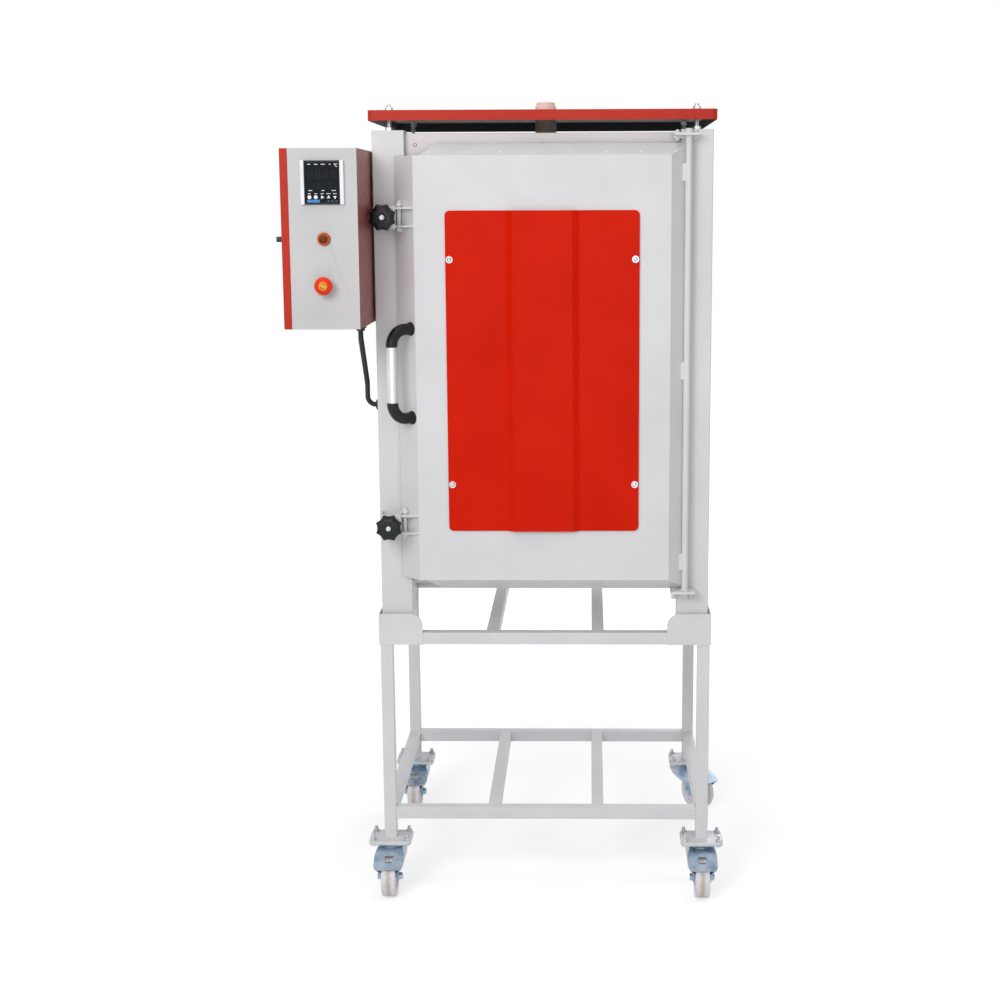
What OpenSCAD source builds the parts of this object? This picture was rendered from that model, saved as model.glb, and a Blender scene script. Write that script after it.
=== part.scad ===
// Front-loading ceramic kiln on a castor stand.
// Worked out with +Z up and +Y from the door to the back, from a point on the floor midway between
// the front posts, in the plane of their front faces. place() then moves everything so that the
// origin is the middle of the kiln's outline on the floor.

/* [Kiln body] */
// Width over the corner posts
body_w = 800; // [760:10:860]
// Depth over the corner posts
body_d = 620; // [600:10:700]
// Thickness of the chamber's brick roof
roof_brick = 136; // [120:1:150]
// Width of a square corner post
post = 76; // [70:1:80]
// Wall of a corner post
post_t = 3; // [2:0.5:4]
// Underside of the casing above the floor
body_bottom = 792; // [788:1:800]
// Thickness of the casing sheet
sheet = 1.5; // [1:0.1:2]
// Distance of the front collar behind the posts' front faces
collar_back = 20; // [16:1:24]
// Distance of the side sheets inside the posts' outer faces
side_inset = 8; // [6:1:10]
// Distance of the rear sheet inside the posts' rear faces
back_inset = 10; // [8:1:14]
// Distance of the casing's top below the posts' top
lid_drop = 6; // [4:1:8]

/* [Firing chamber] */
// Width of the chamber
chamber_w = 500; // [440:10:520]
// Height of the door's flat front above the chamber's top
door_over = 84.5; // [80:0.5:100]
// Depth of the chamber
chamber_d = 430; // [400:10:440]
// Thickness of the chamber's brick floor
floor_brick = 130; // [120:1:140]
// Thickness of the backing board behind the bricks
board_t = 25; // [20:1:30]
// Rows of heating coil in each side wall
coil_rows = 6; // [4:2:8]
// Diameter of a heating coil
coil_d = 16; // [14:1:20]
// Pitch of a heating coil's drawn turns
coil_pitch = 14; // [12:1:20]
// Diameter of a coil's straight tail
tail_d = 8; // [7:0.5:10]
// Distance of the coils' front ends behind the collar
coil_front = 45; // [35:1:60]
// Length of a ceramic bush outside the rear sheet
bush_l = 12; // [8:1:16]
// Diameter of the thermocouple's sheath
probe_d = 12; // [8:1:14]
// Distance of the thermocouple below the chamber's top
probe_drop = 150; // [100:5:200]
// How far the thermocouple reaches into the chamber
probe_in = 60; // [40:5:80]

/* [Stand] */
// Outer size of the square tube
tube = 30; // [26:1:34]
// Wall of the square tube
tube_wall = 2; // [1.5:0.5:3]
// How far the stand stands out beyond the posts at each side
stand_x = 5; // [3:1:8]
// How far the stand stands out beyond the posts at the front and the back
stand_y = 10; // [6:1:12]
// Top of the upper frame above the floor
upper_z = 670; // [640:5:700]
// Top of the lower frame above the floor
lower_z = 219; // [200:1:260]
// Distance of the long bars from the middle
bar_x = 130; // [90:5:170]
// Height of the corner pockets
pocket_h = 78; // [60:1:90]
// Thickness of the pocket plate
pocket_t = 3; // [2:0.5:4]
// Width of the pocket's front plate
pocket_w = 108; // [96:1:112]
// Radius of the pocket's rounded corner
pocket_r = 30; // [15:1:36]

/* [Castors] */
// Wheel diameter
wheel_d = 100; // [92:1:104]
// Wheel width
wheel_w = 36; // [32:1:38]
// Distance of the axle from the swivel axis
trail = 45; // [38:1:48]
// Height of a castor up to the top of its plate
castor_h = 132; // [131:1:136]
// Length of the mounting plate
plate_l = 105; // [100:1:110]
// Width of the mounting plate
plate_w = 85; // [80:1:90]
// Corner radius of the mounting plate
plate_r = 12; // [4:1:12]
// Thickness of the castor's own plate
castor_plate_t = 3; // [2:0.5:4]
// Thickness of the foot plate under each leg
foot_t = 6; // [4:1:8]
// Distance between the castor bolts across the kiln
bolt_dx = 84; // [82:1:88]
// Distance between the castor bolts along the kiln
bolt_dy = 60; // [58:1:64]
// Diameter of the axle
axle_d = 12; // [10:1:14]
// Diameter of the swivel pin
swivel_d = 14; // [12:1:16]
// Thickness of the pressed fork
fork_t = 3; // [2.5:0.5:4]
// Width of the fork over its shoulders
fork_w = 74; // [70:1:78]
// Turn of the right rear castor
rear_turn = 40; // [0:5:60]

/* [Door] */
// Half width of the door's flat front
door_half = 300; // [290:1:304]
// Thickness of the door's pan
door_deep = 47; // [43:1:50]
// Gap between the door's rim and the posts
door_gap = 6; // [5:0.5:8]
// Bottom of the door's flat front above the floor
door_z = 812; // [808:1:816]
// Height of the door's flat front
door_h = 1006; // [990:1:1010]
// Height of the sloping strips above and below the flat front
slope_h = 28; // [20:1:30]
// How far the strips' mitred end lies inside the flat front, at the front and at the rear
mitre_front = 15; // [8:1:24]
mitre_rear = 47; // [40:1:60]
// How far the door's brick plug enters the chamber
plug_in = 16; // [8:1:24]
// Gap between the plug and the chamber's walls
plug_gap = 8; // [7:1:14]
// Width of the seal around the plug
seal_w = 40; // [25:1:44]
// Diameter of the hinge rod
rod_d = 16; // [14:1:18]
// Distance of the hinge rod beyond the door's flat front
rod_x = 41; // [40:1:44]
// Distance of the hinge rod in front of the posts
rod_y = 25; // [24:1:28]
// Thickness of the hinge plates
hinge_t = 6; // [4:1:8]

/* [Red panels] */
// Width of the door panel
panel_w = 454; // [420:2:480]
// Distance of the door panel's top below the top of the door's flat front
panel_down = 126; // [110:1:140]
// Bottom of the door panel above the door's flat front
panel_up = 122; // [110:1:130]
// Gap behind the door panel
panel_gap = 2; // [1:0.5:4]
// Width of the panels' raised middle
rib_w = 173; // [150:1:190]
// Width of the slope beside the raised middle
rib_slope = 16.5; // [10:0.5:24]
// Rise of the panels' raised middle
rib_rise = 10; // [6:1:14]
// Corner radius of the panels
panel_r = 12; // [6:1:20]
// Distance of the panel screws from the panels' edges
screw_in = 9.5; // [9:0.5:14]
// Distance of a door panel's screws from its upper and lower edges
panel_screw_in = 113; // [90:1:130]
// Distance of the side covers from the posts' front and rear faces
cover_side = 110; // [100:1:130]
// Distance of the side covers' bottom above the underside of the casing
cover_up = 75.5; // [60:0.5:100]
// Distance of the side covers' top below the posts' top
cover_down = 84.5; // [70:0.5:110]
// Gap behind a side cover
cover_gap = 8.5; // [6:0.5:10]
// Distance of a side cover's screws from its upper and lower edges
cover_screw_in = 98.5; // [60:0.5:110]
// Width of the rear cover
rear_w = 580; // [560:5:610]
// Distance of the rear cover's ends inside those of the side covers
rear_in = 22.5; // [5:0.5:30]
// Depth of the rear cover
rear_d = 42; // [38:1:46]
// Radius of the washers under the panel screws
washer_r = 8.5; // [7:0.5:9]

/* [Handle] */
// Diameter of the grip tube
grip_d = 24; // [20:1:28]
// Length of the grip tube
grip_l = 131; // [110:1:160]
// Bottom of the grip tube above the bottom of the door's flat front
grip_up = 434; // [400:1:470]
// Distance of the grip from the door's slanting edge
grip_off = 58; // [54:1:64]
// Distance of the handle's feet from the flat front, measured across the door
foot_in = 13; // [12:1:20]
// Bend radius of the handle's ends
grip_bend = 40; // [34:1:46]

/* [Clamps] */
// Distance of the clamps from the middle
clamp_x = 368; // [366:1:374]
// Height of the lower clamp above the bottom of the door's flat front
clamp_up = 136; // [110:1:160]
// Distance of the upper clamp below the top of the door's flat front
clamp_down = 141; // [120:1:160]
// Outer diameter of a star knob
knob_d = 66; // [60:1:68]
// Number of lobes of a star knob
knob_lobes = 8; // [5:1:8]
// Thickness of a star knob's head
knob_h = 24; // [20:1:28]
// Length of a star knob's hub
hub_l = 20; // [14:1:26]
// Diameter of the clamp bolt
clamp_bolt_d = 12; // [10:1:14]
// How far the clamp bolt enters the post
bolt_in = 8; // [6:1:10]
// Outer size of the clamp's box section
box_sec = 50; // [46:1:52]
// Height of the clamp's box section
box_sec_h = 54; // [48:1:60]
// Length of the clamp bracket's ears
ear_l = 60; // [56:1:64]
// Wall of the clamp's box section
box_sec_t = 4; // [3:0.5:5]

/* [Roof and flue] */
// Width of the roof sheet
roof_w = 816; // [810:2:840]
// Distance of the roof's front edge in front of the posts
roof_front = 10; // [6:1:20]
// Distance of the roof's rear edge behind the posts
roof_rear = 10; // [6:1:20]
// Top of the roof sheet above the posts' top
roof_over = 46; // [41:1:58]
// Height of the roof sheet's edge
roof_edge = 24; // [18:1:30]
// Corner radius of the roof sheet
roof_r = 14; // [8:1:24]
// Diameter of a roof stud
stud_d = 10; // [8:1:12]
// Outer diameter of the flue tube
flue_d = 53; // [48:1:58]
// Bore of the flue tube
flue_bore = 36; // [30:1:40]
// Distance of the flue behind the posts' front faces
flue_y = 330; // [280:5:380]
// Top of the flue tube above the roof sheet
flue_over = 25; // [20:1:37]

/* [Control box] */
// Width of the control box without its side cover
box_w = 154; // [146:1:170]
// Depth of the control box
box_d = 300; // [280:5:320]
// Height of the control box
box_h = 400; // [390:5:420]
// Distance of the control box's top below the posts' top
box_down = 47; // [37:1:60]
// Distance of the box's front in front of the posts
box_front = 228; // [210:1:240]
// Gap between the control box and the post
box_gap = 5; // [4:1:8]
// Thickness of the box's side cover
box_cover = 18; // [14:1:22]
// Edge length of the square controller
meter = 96; // [90:1:100]
// Distance of the controller's middle below the box's top
meter_drop = 75; // [70:1:80]
// Distance of the lamp's middle below the box's top
lamp_drop = 199; // [185:1:210]
// Distance of the stop button's middle below the box's top
stop_drop = 302; // [290:1:315]
// Diameter of the stop button's head
stop_d = 40; // [36:1:44]
// Stroke of the stop button
stop_stroke = 4; // [3:0.5:5]
// Edge length of the main switch's plate
switch_w = 48; // [44:1:54]
// Distance of the main switch behind the box's front
switch_y = 148; // [120:1:180]
// Distance of the main switch below the box's top
switch_drop = 202; // [180:1:220]
// Diameter of the conduit
conduit_d = 13; // [11:1:15]
// Bend radius of the conduit
conduit_r = 20; // [18:1:24]
// Lean of the conduit's slanting stretch
conduit_lean = 40; // [30:1:50]
// Distance of the conduit's upper end in front of the posts
conduit_y = 60; // [50:1:70]

/* [Hidden] */
$fn = 64;

// Colours
paint = "#DEDDDB";
red = "#CE2A1B";
steel = "#B9BCBF";
zinc = "#A9B7C4";
nylon = "#EFEDE4";
brick = "#E9DFC9";
board = "#F3F1EC";
black = "#1B1B1D";
wire = "#6A625C";
ceramic = "#F0E6D2";

// Clearances
run = 0.05;      // radial, shaft in its bearing
play = 0.3;      // between faces that move past each other
loose = 1.2;     // radial, clamp bolt in its bush
seat = 0.3;      // around a piece laid in a groove
cut = 1;         // how far a cutting shape passes a face

// Kiln body
half = body_w / 2;
post_in = half - post;
post_mid = half - post / 2;
side_x = half - side_inset;
back_y = body_d - back_inset;
pan_top = body_bottom + sheet;
collar_front = collar_back + sheet;
door_top = door_z + door_h;

// Chamber
ch_half = chamber_w / 2;
ch_z0 = pan_top + floor_brick;
ch_z1 = door_top - door_over;
chamber_h = ch_z1 - ch_z0;
lid_z = ch_z1 + roof_brick;
post_top = lid_z + sheet + lid_drop;
ch_back = collar_front + chamber_d;
brick_x = side_x - sheet - board_t;
brick_back_y = back_y - sheet - board_t;
coil_r = coil_d / 2;
coil_x = ch_half + coil_r + 1;
coil_step = chamber_h / coil_rows;
coil_start = collar_front + coil_front;
coil_end = ch_back - coil_r;
tail_end = back_y + bush_l + 12;
probe_z = ch_z1 - probe_drop;

// Stand
leg_x = half + stand_x - tube / 2;
leg_front = tube / 2 - stand_y;
leg_back = body_d + stand_y - tube / 2;
foot_z = castor_h + foot_t;
pocket_z = upper_z - tube;

// Castor, from its swivel axis
fork_top = castor_h - castor_plate_t - play;
crown_z = wheel_d + 16;
hub_half = wheel_w / 2 + 1;
fork_in = hub_half + play;
fork_foot = fork_in + fork_t;
axle_z = wheel_d / 2;
rim_r = 4;
fork_rear = 34;
guard_top = -32;
race_r = 31;
boss_r = 14;
knee_z = axle_z + 20;
shoulder_z = wheel_d - 8;
guard_end = [-trail - wheel_d / 2 + 1, axle_z + 36];
guard_half = fork_foot + (fork_w / 2 - fork_foot) * (guard_end[1] - knee_z) / (shoulder_z - knee_z);
corners = [[-1, 0], [1, 0], [-1, 1], [1, 1]];
turns = [0, 0, 0, rear_turn];

// Door
door_rear = -door_gap;
door_front = door_rear - door_deep;
door_left = -(door_half + door_deep);
door_lip = 35;
door_right = door_half + door_lip;
rim_z0 = door_z - slope_h;
rim_z1 = door_top + slope_h;
hinge_x = door_half + rod_x;
hinge_y = -rod_y;
plug_half = ch_half - plug_gap;
plug_z0 = ch_z0 + plug_gap;
plug_z1 = ch_z1 - plug_gap;
panel_h = door_h - panel_up - panel_down;
panel_z = door_z + panel_up + panel_h / 2;
panel_screw_h = panel_h - 2 * panel_screw_in;

// Covers and roof
cover_w = body_d - 2 * cover_side;
cover_h = post_top - cover_down - body_bottom - cover_up;
cover_mid = body_bottom + cover_up + cover_h / 2;
cover_screw_h = cover_h - 2 * cover_screw_in;
rear_h = cover_h - 2 * rear_in;
roof_top = post_top + roof_over;
flue_top = roof_top + flue_over;

// Hinge
upper_plate_z = rim_z1 + 16;
lower_plate_z = rim_z0 - 3 - hinge_t;
rod_z0 = lower_plate_z - 9;
rod_z1 = upper_plate_z + hinge_t + 10;
hinge_plate_w = 60;
hinge_plate_d = 45;
hinge_plate_x = hinge_x - 35;
tab_d = 14;
hinge_bolts = [-26, 16];
hinge_nut = 10;

// Clamp, from its bolt's axis
sec_back = -(door_gap + 4);
sec_front = sec_back - box_sec;
knob_front = sec_front - play - hub_l - knob_h;
neck_r = clamp_bolt_d / 2 + 5;
bush_r = clamp_bolt_d / 2 + 4;
bush_flange = 4;
clamp_low = door_z + clamp_up;
clamp_high = door_top - clamp_down;
clamp_heights = [clamp_low, clamp_high];

// Handle: its foot on the slanting edge
foot_x = -(door_half + foot_in);
foot_y = door_front + foot_in;
grip_z = door_z + grip_up;

// Control box
box_x1 = -(half + box_gap);
box_x0 = box_x1 - box_w;
cover_x = box_x0 - box_cover;
box_y0 = -box_front;
box_top = post_top - box_down;
box_z = box_top - box_h;
device_x = (box_x0 + box_x1) / 2;
stop_out = 35;
switch_out = 36;
plate_t = 4;
conduit_x = -(half + conduit_r + 8);
conduit_in_y = post / 2;
conduit_drop = 25;

// Outline on the floor
x_min = cover_x - switch_out;
turned_x = guard_half * cos(rear_turn) - guard_end[0] * sin(rear_turn);
turned_y = fork_w / 2 * sin(rear_turn) + fork_rear * cos(rear_turn);
x_max = leg_x + max(plate_l / 2, turned_x);
y_min = box_y0 - stop_out;
y_max = leg_back + max(plate_w / 2, turned_y);

module place() translate([-(x_min + x_max) / 2, -(y_min + y_max) / 2, 0]) children();

// Shapes used in many places

// Rectangle with round corners, about its middle
module rounded(w, h, r) {
    square([w - 2 * r, h], center = true);
    square([w, h - 2 * r], center = true);
    for (x = [-1, 1], y = [-1, 1])
        translate([x * (w / 2 - r), y * (h / 2 - r)]) circle(r = r);
}

// Box between two corners
module block(a, b) translate(a) cube(b - a);

// Repeats the front left corner's shape at all four corners
module four_corners()
    for (x = [0, 1], y = [0, 1])
        mirror([x, 0, 0]) translate([0, y * body_d, 0]) mirror([0, y, 0]) children();

// Square tube along Z, with its outer corner rounded off a little
module square_tube(size, wall, length)
    linear_extrude(length) difference() {
        rounded(size, size, wall);
        square(size - 2 * wall, center = true);
    }

// Square tube from a point along X or Y
module tube_x(p, length) translate(p) rotate([0, 90, 0]) square_tube(tube, tube_wall, length);
module tube_y(p, length) translate(p) rotate([-90, 0, 0]) square_tube(tube, tube_wall, length);

// Things that stand out of a face towards -Y
module forward() rotate([90, 0, 0]) children();

// Hexagon nut or head
module hex(across, h) cylinder(d = across / cos(30), h = h, $fn = 6);

// Point where the line from p touches a circle, on the side s
function touch(p, c, r, s) =
    let (d = p - c, a = atan2(d[1], d[0]), b = acos(r / norm(d)))
    c + r * [cos(a + s * b), sin(a + s * b)];

// Stand

module stand_legs() color(paint) place() four_corners()
    translate([-leg_x, leg_front, foot_z]) square_tube(tube, tube_wall, upper_z - foot_z);

module stand_cross_rails() color(paint) place()
    for (y = [leg_front, leg_back], z = [lower_z, upper_z])
        tube_x([-(leg_x - tube / 2), y, z - tube / 2], 2 * leg_x - tube);

module stand_long_rails() color(paint) place()
    for (x = [-leg_x, -bar_x, bar_x, leg_x], z = [lower_z, upper_z])
        tube_y([x, leg_front + tube / 2, z - tube / 2], leg_back - leg_front - tube);

// One plate of a pocket, in its own plane: corner edge at x = 0, upper far corner rounded
module pocket_plate(w) linear_extrude(pocket_t) difference() {
    square([w, pocket_h]);
    translate([w - pocket_r, pocket_h - pocket_r]) difference() {
        square(pocket_r + cut);
        circle(r = pocket_r);
    }
}

module corner_pockets() color(paint) place() four_corners()
    translate([-(leg_x + tube / 2 + pocket_t), -stand_y - pocket_t, pocket_z]) {
        translate([0, pocket_t, 0]) rotate([90, 0, 0]) pocket_plate(pocket_w);
        rotate([90, 0, 90]) pocket_plate(pocket_w);
    }

// The four bolt holes of a castor
module bolt_places() for (x = [-1, 1], y = [-1, 1]) translate([x * bolt_dx / 2, y * bolt_dy / 2, 0]) children();

module foot_plates() color(paint) place() four_corners()
    translate([-leg_x, leg_front, castor_h]) difference() {
        linear_extrude(foot_t) rounded(plate_l, plate_w, plate_r);
        translate([0, 0, -cut]) bolt_places() cylinder(d = 9, h = foot_t + 2 * cut);
    }

// Castors

module castor_plate() {
    plate_z = castor_h - castor_plate_t;
    difference() {
        translate([0, 0, plate_z]) linear_extrude(castor_plate_t) rounded(plate_l, plate_w, plate_r);
        translate([0, 0, plate_z - cut]) bolt_places() cylinder(d = 8, h = castor_plate_t + 2 * cut);
    }
    translate([0, 0, crown_z - play]) cylinder(d = swivel_d, h = plate_z - crown_z + play + cut);
    translate([0, 0, crown_z - play - 5]) cylinder(d = swivel_d + 10, h = 5);
    bolt_places() {
        translate([0, 0, plate_z - 5]) hex(13, 5);
        translate([0, 0, plate_z - cut]) cylinder(d = 8, h = castor_plate_t + foot_t + 16);
        translate([0, 0, foot_z]) hex(13, 6.5);
    }
}

module castor_plates() color(zinc) place() four_corners() translate([-leg_x, leg_front, 0]) castor_plate();

// Puts a castor's own shape at corner i, trailing wheel towards the front
module at_castor(i)
    translate([corners[i][0] * leg_x, corners[i][1] == 0 ? leg_front : leg_back, 0]) rotate([0, 0, turns[i]])
        children();

// Outline of the fork from the front, drawn in by a wall: square shoulders that close in on the wheel
module fork_outline(t, foot) polygon([
    [-foot, -cut], [-foot, knee_z], [-fork_w / 2 + t, shoulder_z], [-fork_w / 2 + t, crown_z - 8],
    [-fork_w / 2 + 6 + 0.6 * t, crown_z + fork_t - t], [fork_w / 2 - 6 - 0.6 * t, crown_z + fork_t - t],
    [fork_w / 2 - t, crown_z - 8], [fork_w / 2 - t, shoulder_z], [foot, knee_z], [foot, -cut]
]);

// Fork from the side: it reaches out over the wheel and comes down to the axle
module fork_side() {
    axle = [-trail, axle_z];
    rear = [fork_rear, crown_z - 8];
    polygon([
        [guard_top, crown_z + fork_t], guard_end, touch(guard_end, axle, boss_r, 1),
        axle, touch(rear, axle, boss_r, -1), rear, [fork_rear, crown_z + fork_t]
    ]);
    translate(axle) circle(r = boss_r);
}

// Shape seen from the front, cut out through the whole fork
module from_front() translate([0, 60, 0]) forward() linear_extrude(2 * wheel_d) children();

// The sloping guard over the wheel, with its window
module fork_guard() difference() {
    intersection() {
        translate([-fork_w / 2, 0, 0]) rotate([90, 0, 90]) linear_extrude(fork_w) polygon([
            [guard_top, crown_z + fork_t], guard_end, guard_end + [2, -fork_t], [guard_top, crown_z]
        ]);
        from_front() fork_outline(0, fork_foot);
    }
    from_front() polygon([
        [-11, crown_z - 10], [-8, guard_end[1] + 10], [8, guard_end[1] + 10], [11, crown_z - 10]
    ]);
}

module castor_fork(i) color(zinc) place() at_castor(i) {
    difference() {
        union() {
            intersection() {
                from_front() difference() {
                    fork_outline(0, fork_foot);
                    fork_outline(fork_t, fork_in);
                }
                translate([-fork_w, 0, 0]) rotate([90, 0, 90]) linear_extrude(2 * fork_w) fork_side();
            }
            fork_guard();
            // Ball race between the crown and the plate
            translate([0, 0, crown_z]) rotate_extrude() polygon([
                [0, 0], [race_r, 0], [race_r, fork_t + 1], [race_r - 3, fork_t + 4],
                [race_r - 4, fork_top - crown_z], [0, fork_top - crown_z]
            ]);
        }
        translate([0, 0, crown_z - cut]) cylinder(d = swivel_d + 2 * run, h = fork_top);
    }
    // Axle bolt with its head and nut
    translate([-fork_foot - 8, -trail, axle_z]) rotate([0, 90, 0]) {
        cylinder(d = axle_d, h = 2 * fork_foot + 18);
        hex(17, 8);
        translate([0, 0, 2 * fork_foot + 8]) hex(17, 8);
    }
}

module castor_wheel(i) color(nylon) place() at_castor(i)
    translate([0, -trail, axle_z]) rotate([0, 90, 0]) rotate_extrude() difference() {
        union() {
            translate([wheel_d / 2 - 7, 0]) rounded(14, wheel_w, rim_r);
            translate([axle_d / 2, -wheel_w / 4]) square([wheel_d / 2 - 10, wheel_w / 2]);
            translate([axle_d / 2, -hub_half]) square([11, 2 * hub_half]);
        }
        translate([-cut, -wheel_w]) square([cut + axle_d / 2 + run, 2 * wheel_w]);
    }

// Kiln body

// Bush holes in the left post for the clamps
module clamp_places() for (z = clamp_heights) translate([-clamp_x, 0, z]) children();

module corner_posts() color(paint) place() difference() {
    four_corners() translate([-post_mid, post / 2, upper_z]) {
        square_tube(post, post_t, post_top - upper_z);
        translate([0, 0, post_top - upper_z - post_t]) linear_extrude(post_t) square(post - post_t, center = true);
    }
    four_corners() translate([-post_mid, post / 2, post_top - 2 * post_t]) cylinder(d = stud_d, h = 3 * post_t);
    clamp_places() translate([0, post_t + cut, 0]) forward() cylinder(r = bush_r, h = post_t + 2 * cut);
}

module casing_sides() color(paint) place()
    for (x = [0, 1]) mirror([x, 0, 0]) block([side_x - sheet, post, pan_top], [side_x, body_d - post, lid_z]);

// Sheet that fills the space between the posts, seen from above
module between_posts(y0, y1, x) {
    translate([-post_in, y0]) square([2 * post_in, y1 - y0]);
    translate([-x, post]) square([2 * x, body_d - 2 * post]);
}

module casing_back() color(paint) place() difference() {
    block([-post_in, back_y - sheet, pan_top], [post_in, back_y, lid_z]);
    coil_tails() translate([0, 0, -cut]) cylinder(r = tail_d / 2 + 4, h = body_d);
    at_probe() cylinder(r = probe_d / 2 + 3, h = body_d);
}

module casing_ends() color(paint) place() {
    translate([0, 0, body_bottom]) linear_extrude(sheet) between_posts(collar_back, back_y, side_x);
    difference() {
        translate([0, 0, lid_z]) linear_extrude(sheet) between_posts(collar_back, back_y, side_x);
        translate([0, flue_y, lid_z - cut]) cylinder(d = flue_d + 2, h = sheet + 2 * cut);
    }
}

module front_collar() color(steel) place() {
    difference() {
        block([-post_in, collar_back, pan_top], [post_in, collar_front, lid_z]);
        block([-ch_half, collar_back - cut, ch_z0], [ch_half, collar_front + cut, ch_z1]);
    }
    // Small screws along the top
    for (x = [-1, 0, 1])
        translate([x * (post_in - 24), collar_back, lid_z - 25]) forward() cylinder(d1 = 9, d2 = 6, h = 3);
}

module backing_boards() color(board) place() difference() {
    union() {
        for (x = [0, 1]) mirror([x, 0, 0])
            block([brick_x, post, pan_top], [side_x - sheet, body_d - post, lid_z]);
        block([-post_in, brick_back_y, pan_top], [post_in, back_y - sheet, lid_z]);
    }
    coil_set(seat);
    probe(seat);
}

module brick_floor() color(brick) place()
    translate([0, 0, pan_top]) linear_extrude(floor_brick) between_posts(collar_front, brick_back_y, brick_x);

module brick_roof() color(brick) place() difference() {
    translate([0, 0, ch_z1]) linear_extrude(lid_z - ch_z1) between_posts(collar_front, brick_back_y, brick_x);
    translate([0, flue_y, ch_z1 - cut]) cylinder(d = flue_d + 2 * seat, h = lid_z - ch_z1 + 2 * cut);
}

module brick_sides() color(brick) place() difference() {
    translate([0, 0, ch_z0]) linear_extrude(chamber_h) difference() {
        between_posts(collar_front, brick_back_y, brick_x);
        translate([-ch_half, 0]) square([chamber_w, body_d]);
    }
    coil_set(seat);
    // Mouth of each groove, narrower than the coil it holds
    for (x = [-1, 1], i = [0 : coil_rows - 1])
        translate([x * ch_half, (coil_start + ch_back) / 2, coil_height(i)])
            cube([coil_d, ch_back - coil_start, 0.7 * coil_d], center = true);
}

module brick_back() color(brick) place() difference() {
    block([-ch_half, ch_back, ch_z0], [ch_half, brick_back_y, ch_z1]);
    probe(seat);
}

// Heating coils: pairs of rows joined in front, tails out at the back

function coil_height(i) = ch_z0 + (i + 0.5) * coil_step;

// Places each coil's axis on the rear sheet, pointing back
module coil_tails() for (x = [-1, 1], i = [0 : coil_rows - 1])
    translate([x * coil_x, ch_back, coil_height(i)]) rotate([-90, 0, 0]) children();

// All coils with their tails, grown by a clearance
module coil_set(grow) for (x = [-1, 1]) {
    for (i = [0 : coil_rows - 1]) translate([x * coil_x, 0, coil_height(i)]) {
        translate([0, coil_start, 0]) rotate([-90, 0, 0]) cylinder(r = coil_r + grow, h = coil_end - coil_start);
        translate([0, coil_start, 0]) rotate([-90, 0, 0]) cylinder(d = tail_d + 2 * grow, h = tail_end - coil_start);
    }
    for (i = [0 : 2 : coil_rows - 2]) translate([x * coil_x, coil_start + coil_r, coil_height(i)])
        cylinder(d = tail_d + 2 * grow, h = coil_step);
}

// Half outline of a coil: a wave of turns along its length
module coil_wave(length) {
    turns_drawn = floor(length / coil_pitch);
    pitch = length / turns_drawn;
    polygon(concat(
        [[0, 0]],
        [for (k = [0 : turns_drawn - 1], p = [[coil_r - 2, 0], [coil_r, 0.35], [coil_r, 0.65]])
            [p[0], (k + p[1]) * pitch]],
        [[coil_r - 2, length], [0, length]]
    ));
}

module heating_coils() color(wire) place() for (x = [-1, 1]) {
    for (i = [0 : coil_rows - 1]) translate([x * coil_x, coil_start, coil_height(i)]) rotate([-90, 0, 0]) {
        rotate_extrude() coil_wave(coil_end - coil_start);
        cylinder(d = tail_d, h = tail_end - coil_start);
    }
    for (i = [0 : 2 : coil_rows - 2]) translate([x * coil_x, coil_start + coil_r, coil_height(i)])
        cylinder(d = tail_d, h = coil_step);
}

module coil_bushes() color(ceramic) place() coil_tails()
    translate([0, 0, back_y - ch_back]) rotate_extrude() polygon([
        [tail_d / 2 + seat, -sheet], [tail_d / 2 + 4 - 0.1, -sheet], [tail_d / 2 + 4 - 0.1, 0],
        [tail_d / 2 + 7, 0], [tail_d / 2 + 7, 4], [tail_d / 2 + 4, 5], [tail_d / 2 + 3, bush_l],
        [tail_d / 2 + seat, bush_l]
    ]);

// Thermocouple: its axis starts in the chamber and points back
module at_probe() translate([0, ch_back - probe_in, probe_z]) rotate([-90, 0, 0]) children();
module probe(grow) at_probe() cylinder(d = probe_d + 2 * grow, h = back_y + 8 - ch_back + probe_in);

module thermocouple() color(ceramic) place() {
    probe(0);
    at_probe() translate([0, 0, back_y - ch_back + probe_in]) {
        cylinder(r = probe_d / 2 + 8, h = 4);
        cylinder(d = 30, h = 26);
    }
}

// Red panels and covers

// Flat panel with a raised middle: back at y = 0, front towards -Y, about its own middle
module ribbed_panel(w, h, screw_h) {
    top = rib_w / 2 - rib_slope;
    inner = 0.4 * sheet;
    difference() {
        intersection() {
            translate([0, 0, -h / 2]) linear_extrude(h) polygon([
                [-w / 2, 0], [-w / 2, -sheet], [-rib_w / 2, -sheet], [-top, -sheet - rib_rise],
                [top, -sheet - rib_rise], [rib_w / 2, -sheet], [w / 2, -sheet], [w / 2, 0],
                [rib_w / 2 - inner, 0], [top - inner, -rib_rise], [-top + inner, -rib_rise],
                [-rib_w / 2 + inner, 0]
            ]);
            translate([0, cut, 0]) forward() linear_extrude(rib_rise + sheet + 2 * cut) rounded(w, h, panel_r);
        }
        screw_places(w, screw_h) translate([0, cut, 0]) forward() cylinder(d = 6, h = sheet + 2 * cut);
    }
}

module screw_places(w, screw_h)
    for (x = [-1, 1], z = [-1, 1]) translate([x * (w / 2 - screw_in), 0, z * screw_h / 2]) children();

// Screws of such a panel with their washers, and a spacer that fills the gap behind
module fixings(w, screw_h, gap) screw_places(w, screw_h) forward() {
    translate([0, 0, -gap]) cylinder(d = 10, h = gap);
    cylinder(d = 5, h = sheet + cut);
    translate([0, 0, sheet]) cylinder(r = washer_r, h = 1.5);
    translate([0, 0, sheet + 1.5]) difference() {
        cylinder(d1 = 11, d2 = 8, h = 3.5);
        translate([0, 0, 2]) cylinder(d = 4, h = 2, $fn = 6);
    }
}

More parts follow.
